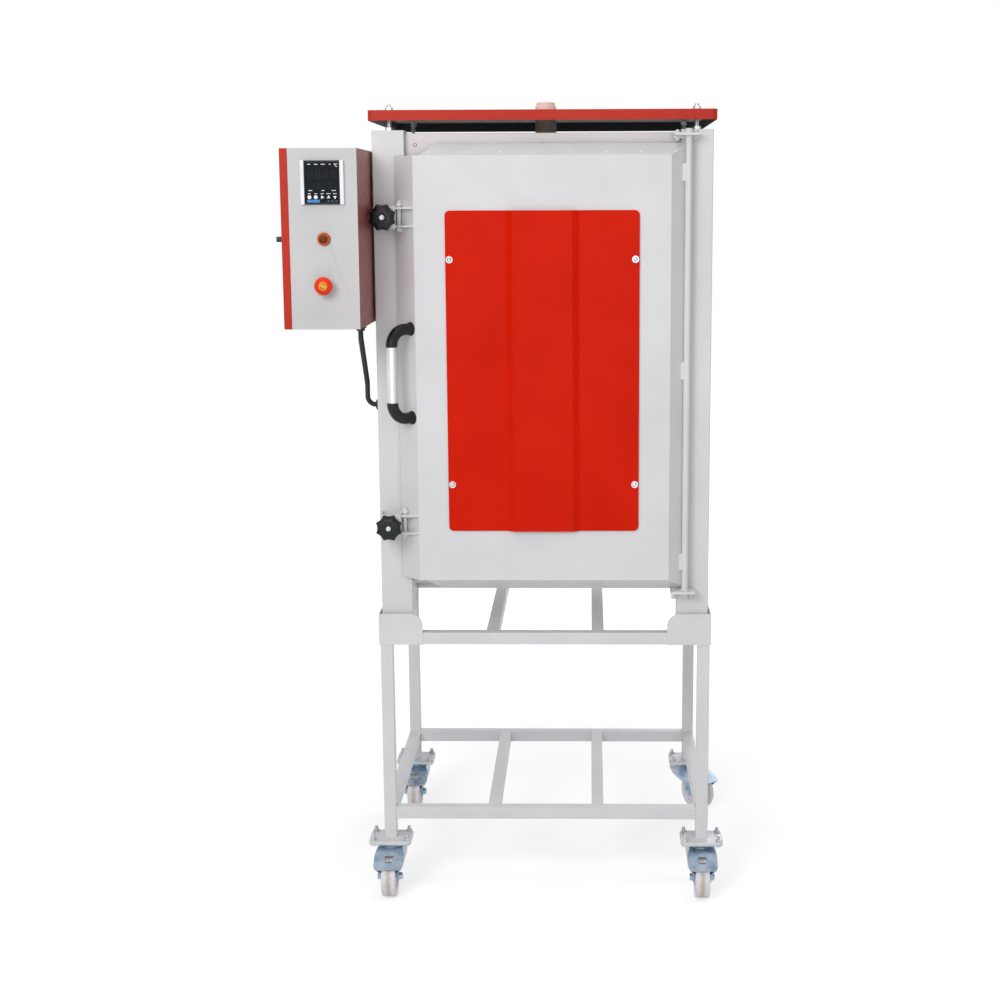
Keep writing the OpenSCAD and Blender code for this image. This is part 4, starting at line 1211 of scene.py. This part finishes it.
@dataclass
class Conduit(Assembly):
    """The ribbed black conduit from the control box to the post, with its glands."""

    x: float = -428.0
    y: float = -60.0
    top: float = 1430.0
    drop: float = 25.0
    lean: float = 40.0
    bend: float = 20.0
    in_y: float = 38.0
    post_x: float = -400.0
    radius: float = 6.5
    rib: float = 0.9
    rib_pitch: float = 4.2
    nut: float = 13.8
    into_box: float = 1.0
    off_post: float = 0.1

    def swing(
        self, points: list[Point], side: tuple[int, int], first: float, last: float, steps: int
    ) -> None:
        """Bends the route from one slant to another.

        Args:
            points: the route so far, which grows here.
            side: the level direction, as x and y, that a slant leans to.
            first: the slant that it comes from, as an angle to straight down.
            last: the slant that it goes on with.
            steps: points along the bend.
        """
        x, y, z = points[-1]
        bend = math.copysign(self.bend, last - first)
        for k in range(1, steps + 1):
            a = first + (last - first) * k / steps
            out, down = bend * (math.cos(first) - math.cos(a)), bend * (math.sin(a) - math.sin(first))
            points.append((x + side[0] * out, y + side[1] * out, z - down))

    def route(self) -> list[Point]:
        """Points along the conduit in millimetres, from the box down and into the post."""
        lean, steps, backward, right = math.radians(self.lean), 10, (0, 1), (1, 0)
        slant = (self.in_y - self.y - 2 * self.bend * (1 - math.cos(lean))) / math.sin(lean)
        points = [(self.x, self.y, self.top + self.into_box), (self.x, self.y, self.top - self.drop)]
        self.swing(points, backward, 0.0, lean, steps)
        _, y, z = points[-1]
        points.append((self.x, y + slant * math.sin(lean), z - slant * math.cos(lean)))
        self.swing(points, backward, lean, 0.0, steps)
        _, y, z = points[-1]
        points.append((self.x, y, z - self.drop))
        self.swing(points, right, 0.0, math.pi / 2, 2 * steps)
        points.append((self.post_x - self.off_post, *points[-1][1:]))
        return points

    def build(self) -> None:
        """Lays the hose and turns its glands."""
        route = self.route()
        line = host("conduit_hose", [metres(*point) for point in route])
        hose = self.shop.hoses.run(
            line, Radius=self.radius / 1000, Rib=self.rib / 1000, Pitch=self.rib_pitch / 1000,
            Material=self.shop.looks["hose_black"],
        )
        self.shop.give(hose, "kiln", "black_plastic", "conduit")
        work = bmesh.new()
        low = orient(metres(self.x, self.y, self.top), (0, 0, -1))
        slab(work, disc(self.nut, 6), 0, 8.6, low)
        cap = [(0, 8), (11.5, 8), (12, 8.6), (10.6, 9.4), (10, 14), (8.6, 16), (0, 16)]
        lathe(work, cap, low, 30)
        post = orient(metres(self.post_x, self.in_y, route[-1][2]), (-1, 0, 0))
        slab(work, disc(self.nut, 6), 0, 6.4, post)
        lathe(work, [(0, 6), (11, 6), (9.6, 8), (0, 8)], post, 30)
        self.shop.give(self.shop.piece("conduit_glands", work, "dull_black"), "kiln", "black_plastic")


@dataclass
class StarKnobs(Assembly):
    """The two scalloped clamp knobs with their metal inserts."""

    x: float = -368.0
    lower: float = 948.0
    upper: float = 1677.0
    base: float = 60.3
    hub: float = 20.0
    head: float = 24.0
    radius: float = 33.0
    lobes: int = 8
    hollow: float = 0.16
    round_to: float = 17.0
    lobed_from: float = 29.0
    blunt: float = 0.95
    neck: float = 11.0

    def scallop(self, angle: float, radius: float) -> float:
        """Factor on the radius: hollows between blunt points, none near the middle.

        Args:
            angle: around the axis.
            radius: the profile's own radius in millimetres.

        Returns:
            The factor.
        """
        valley = abs(((angle * self.lobes / math.tau + 0.5) % 1.0) - 0.5) * 2
        share = min(1.0, max(0.0, (radius - self.round_to) / (self.lobed_from - self.round_to)))
        return 1.0 - self.hollow * share * (1 - min(valley, self.blunt) ** 2)

    def profile(self) -> Outline:
        """The knob's half section, from behind its collar to the rim of its insert."""
        base, rim, r, neck, front = self.base, self.base + self.hub, self.radius, self.neck, self.front()
        return [
            (0, base - 8.6), (neck + 4, base - 8.6), (neck + 4, base - 4.9), (neck, base - 4.9),
            (neck, base), (neck + 4, base), (neck + 5, base + 3), (16.5, base + 12),
            (19, rim - 1), (24, rim), (r - 3, rim + 0.6), (r - 1, rim + 2), (r, rim + 5),
            (r, rim + 13), (r - 0.8, rim + 16.5), (r - 3, rim + 19.2), (r - 7, rim + 21.3),
            (22, front - 1.6), (17, front - 0.9), (10.2, front - 0.4), (9.2, front - 0.9),
            (7.6, front - 2.6), (6.4, front - 3.9), (0, front - 3.9),
        ]

    def front(self) -> float:
        """How far the knob's front stands before the posts."""
        return self.base + self.hub + self.head

    def build(self) -> None:
        """Makes both knobs."""
        insert = [(0, 4.0), (6.8, 4.0), (6.8, 2.0), (6.3, 1.4), (2.4, 1.1), (1.6, 1.5), (1.4, 2.8), (0, 3.0)]
        for name, z in (("lower", self.lower), ("upper", self.upper)):
            place = orient(metres(self.x, 0, z), FORWARD)
            work = bmesh.new()
            lathe(work, self.profile(), place, 128, self.scallop)
            knob = self.shop.piece(f"{name}_star_knob", work, "black_moulding")
            self.shop.give(knob, f"{name}_knob", "black_plastic", f"{name}_knob")
            work = bmesh.new()
            lathe(work, [(r, self.front() - depth) for r, depth in insert], place, 36)
            self.shop.give(self.shop.piece(f"{name}_knob_insert", work, "bolt_zinc"), f"{name}_knob", "zinc")


@dataclass
class ControlBox(Assembly):
    """The controller's face, the print on it, the lamp, the stop button's centre and the switch marks."""

    x: float = -482.0
    y: float = -228.0
    meter_z: float = 1755.0
    lamp_z: float = 1631.0
    stop_z: float = 1528.0
    meter: float = 96.0
    cheek: float = 8.6
    screen: float = 7.0
    screen_w: float = 75.6
    screen_h: float = 87.6
    figure_w: float = 0.52
    figure_stroke: float = 0.11
    figure: float = 0.16
    ink: float = 0.2
    key: float = 0.4
    key_y: float = -32.0
    switch: Point = (-577.0, -80.0, 1628.0)
    switch_plate: float = 4.0

    def build(self) -> None:
        """Makes every piece on the box."""
        self.face()
        self.figures()
        self.print_marks()
        self.lamp()
        self.stop()
        self.switch_marks()

    def flat(self, name: str, work: Mesh, look: str, body: str = "kiln") -> None:
        """Hands over a flat print or moulding.

        Args:
            name: the piece's name.
            work: its mesh.
            look: its finish.
            body: the CAD body it rides on.
        """
        self.shop.give(self.shop.piece(name, work, look, smooth=False), body, "black_plastic")

    def mark(self, work: Mesh, outline: Outline, rise: float) -> None:
        """Prints an outline on the screen.

        Args:
            work: the mesh that it is added to.
            outline: points from the controller's middle, in millimetres.
            rise: its thickness in millimetres.
        """
        place = facing(self.x, self.y, self.meter_z)
        slab(work, outline, self.screen, self.screen + rise, place)

    def bars(self, work: Mesh, y: float, height: float, places: Sequence[tuple[float, float]]) -> None:
        """Prints a row of small bars.

        Args:
            work: the mesh that they are added to.
            y: the row's middle.
            height: of each bar.
            places: each bar's middle and width.
        """
        for x, width in places:
            self.mark(work, round_rectangle(width, height, 0.5, 2, x, y), self.ink)

    def face(self) -> None:
        """The pale cheeks and the dark screen of the controller."""
        place = facing(self.x, self.y, self.meter_z)
        work = bmesh.new()
        for side in SIDES:
            middle = side * (self.meter - self.cheek + 0.4) / 2
            slab(work, round_rectangle(self.cheek, self.meter + 0.6, 1.6, 4, middle), 0.3, 8.0, place)
        cheeks = self.shop.piece("controller_cheeks", work, "pale_moulding", width=0.0008)
        self.shop.give(cheeks, "kiln", "black_plastic")
        work = bmesh.new()
        glass = round_rectangle(self.screen_w, self.screen_h, 1.2, 4)
        slab(work, glass, self.screen - 0.7, self.screen + 0.1, place)
        screen = self.shop.piece("controller_screen", work, "dark_screen", width=0.0003)
        self.shop.give(screen, "kiln", "black_plastic")

    def segments(self, work: Mesh, x: float, y: float, size: float) -> None:
        """One seven-segment figure.

        Args:
            work: the mesh that it is added to.
            x: the figure's middle in millimetres.
            y: the figure's middle in millimetres.
            size: the figure's height in millimetres.
        """
        wide, thick = size * self.figure_w, size * self.figure_stroke
        corner = thick * 0.3
        for sy in (-1, 0, 1):
            middle = y + sy * (size - thick) / 2
            self.mark(work, round_rectangle(wide - thick * 1.5, thick, corner, 2, x, middle), self.figure)
        for sx, sy in product(SIDES, SIDES):
            middle = (x + sx * (wide - thick) / 2, y + sy * (size - thick) / 4)
            upright = round_rectangle(thick, size / 2 - thick * 0.9, corner, 2, *middle)
            self.mark(work, upright, self.figure)

    def figures(self) -> None:
        """Two rows of unlit figures."""
        work = bmesh.new()
        for k in range(4):
            self.segments(work, -25.5 + 17 * k, 18, 20)
            self.segments(work, -18 + 12 * k, -7, 12)
        self.flat("controller_figures", work, "unlit_segments")

    def print_marks(self) -> None:
        """Small lights, a temperature sign, keys with their bars, and a plain blue bar."""
        work = bmesh.new()
        self.bars(work, 39.5, 1.6, [(-28 + 15.5 * k, wide) for k, wide in enumerate((7.0, 8.0, 9.0, 4.0))])
        self.mark(work, disc(1.2, 12, 28.5, 40.0), self.ink)
        self.mark(work, bow(3.4, 2.2, 50, 26, 11, 33.2, 37.4), self.ink)
        self.bars(work, -17.5, 1.5, [(-26, 9), (2, 7), (26, 9)])
        labels = enumerate((7.0, 7.0, 7.0, 9.0, 8.0))
        self.bars(work, -24.4, 1.3, [(-28.5 + 14.2 * k, wide) for k, wide in labels])
        for x in (-28.5, -14.3):
            self.mark(work, disc(4.3, 26, x, self.key_y), self.key)
        for x, size, turn in ((0.0, 4.6, 0), (14.2, 4.4, 90), (28.4, 4.4, -90)):
            self.mark(work, arc(size, turn, 120, 3, x, self.key_y), self.key)
        self.flat("controller_print", work, "white_print")
        work = bmesh.new()
        low = -40.6
        self.mark(work, round_rectangle(28, 6.0, 0.8, 3, -19.5, low), self.ink)
        self.bars(work, low, 1.5, [(14 + 8.5 * k, 5.6) for k in range(3)])
        self.flat("controller_bar", work, "blue_print")

    def lamp(self) -> None:
        """The amber lens with its rim and ribs, in a material that is darker in the middle."""
        at = metres(self.x, self.y, self.lamp_z)
        finish = LensPlastic(
            "amber_lens", "#CF5A2C", "#6E3D0A", (0.25, 0.35), grain=300.0, depth=0.00002, shine=0.12,
            centre=tuple(at),
        )
        rim = [(10.3, 5.1), (13.8, 5.1), (14.1, 5.6), (13.6, 6.4), (10.7, 7.4), (10.3, 8.6), (9.8, 9.4)]
        ribs = []
        for k in range(5):
            r, height = 9.2 - 0.9 * k, 9.9 + 0.42 * k
            ribs += [(r, height), (r + 0.35, height + 0.16)]
        profile = [(0, 2), (10.3, 2), *rim, *ribs, (4.6, 12.6), (3.0, 12.9), (0, 13.0)]
        work = bmesh.new()
        lathe(work, profile, orient(at, FORWARD), 48)
        dome = self.shop.piece("lamp_dome", work, self.shop.add_look(finish))
        self.shop.give(dome, "kiln", "amber_lens", "lamp_lens")

    def stop(self) -> None:
        """The yellow centre of the stop button with its turning arrows."""
        place = facing(self.x, self.y, self.stop_z)
        work = bmesh.new()
        lathe(work, [(0, 34.7), (9.4, 34.7), (9.4, 35.1), (9.0, 35.4), (0, 35.45)], place, 40)
        self.shop.give(self.shop.piece("stop_centre", work, "yellow_plastic"), "stop_head", "red_plastic")
        work = bmesh.new()
        low, high = 35.3, 35.6
        for start in (20, 200):
            slab(work, bow(6.6, 5.2, start, 12, 10), low, high, place)
            tip, foot, heel = (arc(r, start + turn, 0, 1) for r, turn in ((5.9, -14), (7.8, 4), (4.0, 4)))
            slab(work, tip + foot + heel, low, high, place)
        self.flat("stop_arrows", work, "dull_black", "stop_head")

    def switch_marks(self) -> None:
        """The 0 and 1 beside the main switch."""
        outwards = Matrix.Rotation(-math.pi / 2, 4, "Z") @ Matrix.Rotation(math.pi / 2, 4, "X")
        place = Matrix.Translation(metres(*self.switch)) @ outwards
        low, away, steps = self.switch_plate - 0.05, 21.0, 20
        work = bmesh.new()
        for k in range(steps):
            stretch = bow(2.6, 1.7, k * 360 / steps, 360 / steps, 2, 0, away)
            slab(work, stretch, low, low + self.ink, place)
        slab(work, round_rectangle(1.2, 5.2, 0.4, 2, away, 0.0), low, low + self.ink, place)
        self.flat("switch_print", work, "white_print")


@dataclass
class DoorRivets(Assembly):
    """Plug rivets along the sloping top and bottom strips of the door."""

    top: float = 1818.0
    bottom: float = 812.0
    front: float = -53.0
    slope_h: float = 28.0
    depth: float = 47.0
    down_slope: float = 0.3
    first: float = -262.0
    step: float = 82.0
    count: int = 8

    def build(self) -> None:
        """Sets the rivets out."""
        work = bmesh.new()
        head = [(0, -0.6), (3.4, -0.6), (3.4, 0.1), (2.9, 0.6), (1.6, 0.95), (0, 1.05)]
        lathe(work, head, Matrix.Identity(4), 20)
        pattern = self.shop.piece("rivet_pattern", work, "pale_moulding")
        places = []
        for way, edge in ((1, self.top), (-1, self.bottom)):
            normal = Vector((0, -self.slope_h, way * self.depth)).normalized()
            y, z = self.front + self.down_slope * self.depth, edge + way * self.down_slope * self.slope_h
            places += [(metres(self.first + self.step * k, y, z), normal) for k in range(self.count)]
        rivets = self.shop.scatter("door_rivets", "pale_moulding", pattern, places)
        self.shop.give(rivets, "door", "light_paint")
        bpy.data.objects.remove(pattern)


@dataclass
class RoofStuds(Assembly):
    """Threads of the four studs that carry the roof sheet."""

    x: float = 362.0
    front: float = 38.0
    back: float = 582.0
    stud_r: float = 5.0
    low: float = 1885.2
    high: float = 1913.2
    pitch: float = 1.5
    ridge_r: float = 0.45

    def build(self) -> None:
        """Winds the threads."""
        starts = [metres(sx * self.x, y, self.low) for sx, y in product(SIDES, (self.front, self.back))]
        threads = self.shop.wind(
            "stud_threads", "bolt_zinc", starts, UPWARD, self.high - self.low,
            pitch=self.pitch, Radius=self.stud_r / 1000, Wire=self.ridge_r / 1000, Steps=16, Sides=4,
        )
        self.shop.give(threads, "kiln", "stainless")


# Each finish with its bevel width in metres and the nodes that have both.
COATS = (
    ("light_paint", 0.0006, "stand_legs", "stand_cross_rails", "stand_long_rails", "corner_pockets"),
    ("light_paint", 0.0006, "foot_plates", "corner_posts", "casing_sides", "casing_back", "casing_ends"),
    ("light_paint", 0.0006, "rear_cover", "hinge_plates", "hinge_rod", "door_skin", "clamp_brackets"),
    # box_paint_with_painted_shade: grey, with a darker red as painted shade on the walls towards the kiln
    ("box_paint_with_painted_shade", 0.0006, "box_shell"),
    ("red_paint", 0.0006, "door_panel"),
    # roof_coat_painted_shade: the trim red, with dark grey painted shade on its underside
    ("roof_coat_painted_shade", 0.0006, "roof_sheet"),
    # red_trim_painted_shade: the door's red, darkened and dulled as painted shade
    ("red_trim_painted_shade", 0.0006, "side_covers", "box_side_cover"),
    ("collar_steel", 0.0, "front_collar", "door_back"),
    ("screw_steel", 0.0003, "cover_screws", "panel_screws", "roof_studs", "stop_stem"),
    ("grip_aluminium", 0.0006, "handle_grip"),
    ("blue_zinc", 0.0005, "castor_fork_0", "castor_fork_1", "castor_fork_2", "castor_fork_3"),
    ("bolt_zinc", 0.0003, "castor_plates", "clamp_bushes", "upper_bolt", "lower_bolt"),
    ("fibre_board", 0.0, "backing_boards", "door_seal"),
    ("kiln_ceramic", 0.0006, "coil_bushes", "thermocouple", "flue_tube", "flue_stopper"),
    ("coil_wire", 0.0, "heating_coils"),
    ("black_moulding", 0.0005, "handle_ends", "upper_knob", "lower_knob", "controller"),
    ("dull_black", 0.0005, "panel_collars", "switch_plate", "switch_knob", "conduit"),
    ("red_plastic", 0.0, "stop_head", "lamp_lens"),
)

BRICKWORK = {
    "brick_floor": JointPlane.LEVEL, "brick_roof": JointPlane.LEVEL, "brick_sides": JointPlane.ALONG,
    "brick_back": JointPlane.ACROSS, "door_bricks": JointPlane.ACROSS,
}


@dataclass
class Dressing(Assembly):
    """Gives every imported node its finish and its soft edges."""

    nodes: dict[str, Thing]
    castors: Castors

    def plan(self) -> dict[str, tuple[str, float]]:
        """Each node's finish and its bevel width in metres."""
        plan = {node: (look, width) for look, width, *nodes in COATS for node in nodes}
        for number in range(len(self.castors.places())):
            plan[f"castor_wheel_{number}"] = (self.shop.add_look(self.castors.nylon(number)), 0.0)
        for node, plane in BRICKWORK.items():
            name = f"firebrick_{plane.name.lower()}_{node}"
            finish = Firebrick(name, "#EFE6D2", "#E6DAC0", (0.8, 0.95), depth=0.0008, plane=plane)
            plan[node] = (self.shop.add_look(finish), 0.0)
        return plan

    def build(self) -> None:
        """Dresses the nodes."""
        plan = self.plan()
        for name, node in self.nodes.items():
            look, width = plan[name]
            material = self.shop.looks[look]
            if not node.material_slots:
                node.data.materials.append(material)
            for slot in node.material_slots:
                slot.material = material
            self.shop.soften(node, width, merge=True)
            LOG.info("%s is dressed in %s", name, look)


@dataclass
class Studio:
    """Pale floor, white surroundings, soft lamps and the camera of the photograph."""

    camera_at: Point = (110.0, -3964.1, 1706.5)
    yaw: float = 0.0187
    pitch: float = 0.1765
    roll: float = -0.0036
    lens: float = 59.77
    shift: float = -0.059
    ambient: float = 0.44
    mirrored: float = 0.8
    glow: tuple[float, float] = (0.5, 0.8)
    floor_r: float = 14000.0

    def build(self) -> None:
        """Builds the whole studio."""
        scene = bpy.context.scene
        scene.view_settings.view_transform = "Standard"
        self.world(scene)
        self.floor()
        for name, at, to, size, power in (
            ("key_lamp", (-1.5, -4.0, 3.0), (0.05, 0.0, 1.1), 1.8, 71.0),
            ("front_lamp", (0.7, -4.8, 1.5), (0.0, 0.0, 1.0), 2.0, 25.0),
            ("top_lamp", (-0.2, -1.1, 4.8), (0.0, -0.1, 1.0), 2.0, 24.0),
            ("rear_lamp", (1.6, 3.6, 2.6), (0.0, 0.2, 1.1), 2.4, 46.0),
        ):
            self.lamp(name, at, to, size, power)
        self.camera(scene)

    def world(self, scene: bpy.types.Scene) -> None:
        """White where the camera or a reflection sees it, softer for the light that it gives.

        Args:
            scene: the scene that gets the world.
        """
        world = bpy.data.worlds.new("surroundings")
        scene.world = world
        world.use_nodes = True
        wires = Wires(world.node_tree)
        path = wires.node("ShaderNodeLightPath")
        seen = wires.maths("MAXIMUM", path.outputs["Is Camera Ray"], path.outputs["Is Transmission Ray"])
        glossy = wires.maths("MULTIPLY", path.outputs["Is Glossy Ray"], self.mirrored)
        level = wires.spread(wires.maths("MAXIMUM", seen, glossy), self.ambient, 1.0, 0.0, 1.0)
        shade = world.node_tree.nodes["Background"]
        wires.feed(shade.inputs["Color"], (1.0, 1.0, 1.0, 1.0))
        wires.feed(shade.inputs["Strength"], level)

    def floor(self) -> None:
        """A wide pale floor, lit up a little for the camera so that it meets the white behind."""
        work = bmesh.new()
        slab(work, disc(self.floor_r, 96), -20, 0, Matrix.Identity(4))
        mesh = bpy.data.meshes.new("studio_floor")
        work.to_mesh(mesh)
        work.free()
        graph = Graph("floor_white")
        path = graph.node("ShaderNodeLightPath")
        seen = graph.maths("MAXIMUM", path.outputs["Is Camera Ray"], path.outputs["Is Glossy Ray"])
        glow = graph.spread(graph.vectors("LENGTH", graph.object), *self.glow, 1.0, 4.0)
        graph.dress(
            Base_Color=graph.ramp(graph.noise(3.0, 3.0), [(0.3, "#DADADA"), (0.7, "#DEDEDE")]),
            Roughness=0.9, Emission_Color=(1.0, 1.0, 1.0, 1.0),
            Emission_Strength=graph.maths("MULTIPLY", seen, glow), Specular_IOR_Level=0.0,
        )
        mesh.materials.append(graph.material)
        add_object("studio_floor", mesh)

    def lamp(self, name: str, at: Point, to: Point, size: float, power: float) -> None:
        """One soft lamp.

        Args:
            name: its name.
            at: where it hangs, in metres.
            to: what it points at.
            size: its edge length.
            power: in watts.
        """
        light = bpy.data.lights.new(name, "AREA")
        light.energy = power
        light.size = size
        made = add_object(name, light)
        made.location = at
        made.rotation_euler = (Vector(to) - Vector(at)).to_track_quat("-Z", "Y").to_euler()

    def camera(self, scene: bpy.types.Scene) -> None:
        """The camera at the photograph's place, turn and lens.

        Args:
            scene: the scene that looks through it.
        """
        camera = bpy.data.cameras.new("photograph")
        camera.lens = self.lens
        camera.sensor_width = 36.0
        camera.shift_x = self.shift
        made = add_object("photograph", camera)
        level = math.cos(self.pitch)
        ahead = Vector((-math.sin(self.yaw) * level, math.cos(self.yaw) * level, -math.sin(self.pitch)))
        across = Vector((math.cos(self.yaw), math.sin(self.yaw), 0.0))
        upright = across.cross(ahead)
        right = across * math.cos(self.roll) + upright * math.sin(self.roll)
        up = upright * math.cos(self.roll) - across * math.sin(self.roll)
        turn = Matrix((right, up, -ahead)).transposed()
        made.matrix_world = Matrix.Translation(metres(*self.camera_at)) @ turn.to_4x4()
        scene.camera = made


def main() -> None:
    """Builds the kiln's looks in order."""
    logging.basicConfig(level=logging.INFO, format="%(name)s: %(message)s")
    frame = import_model()
    Studio().build()
    shop = Workshop()
    castors = Castors(shop)
    Dressing(shop, frame["nodes"], castors).build()
    castors.build()
    for assembly in (Screws, Chamber, Conduit, StarKnobs, ControlBox, DoorRivets, RoofStuds):
        assembly(shop).build()


if __name__ == "__main__":
    main()
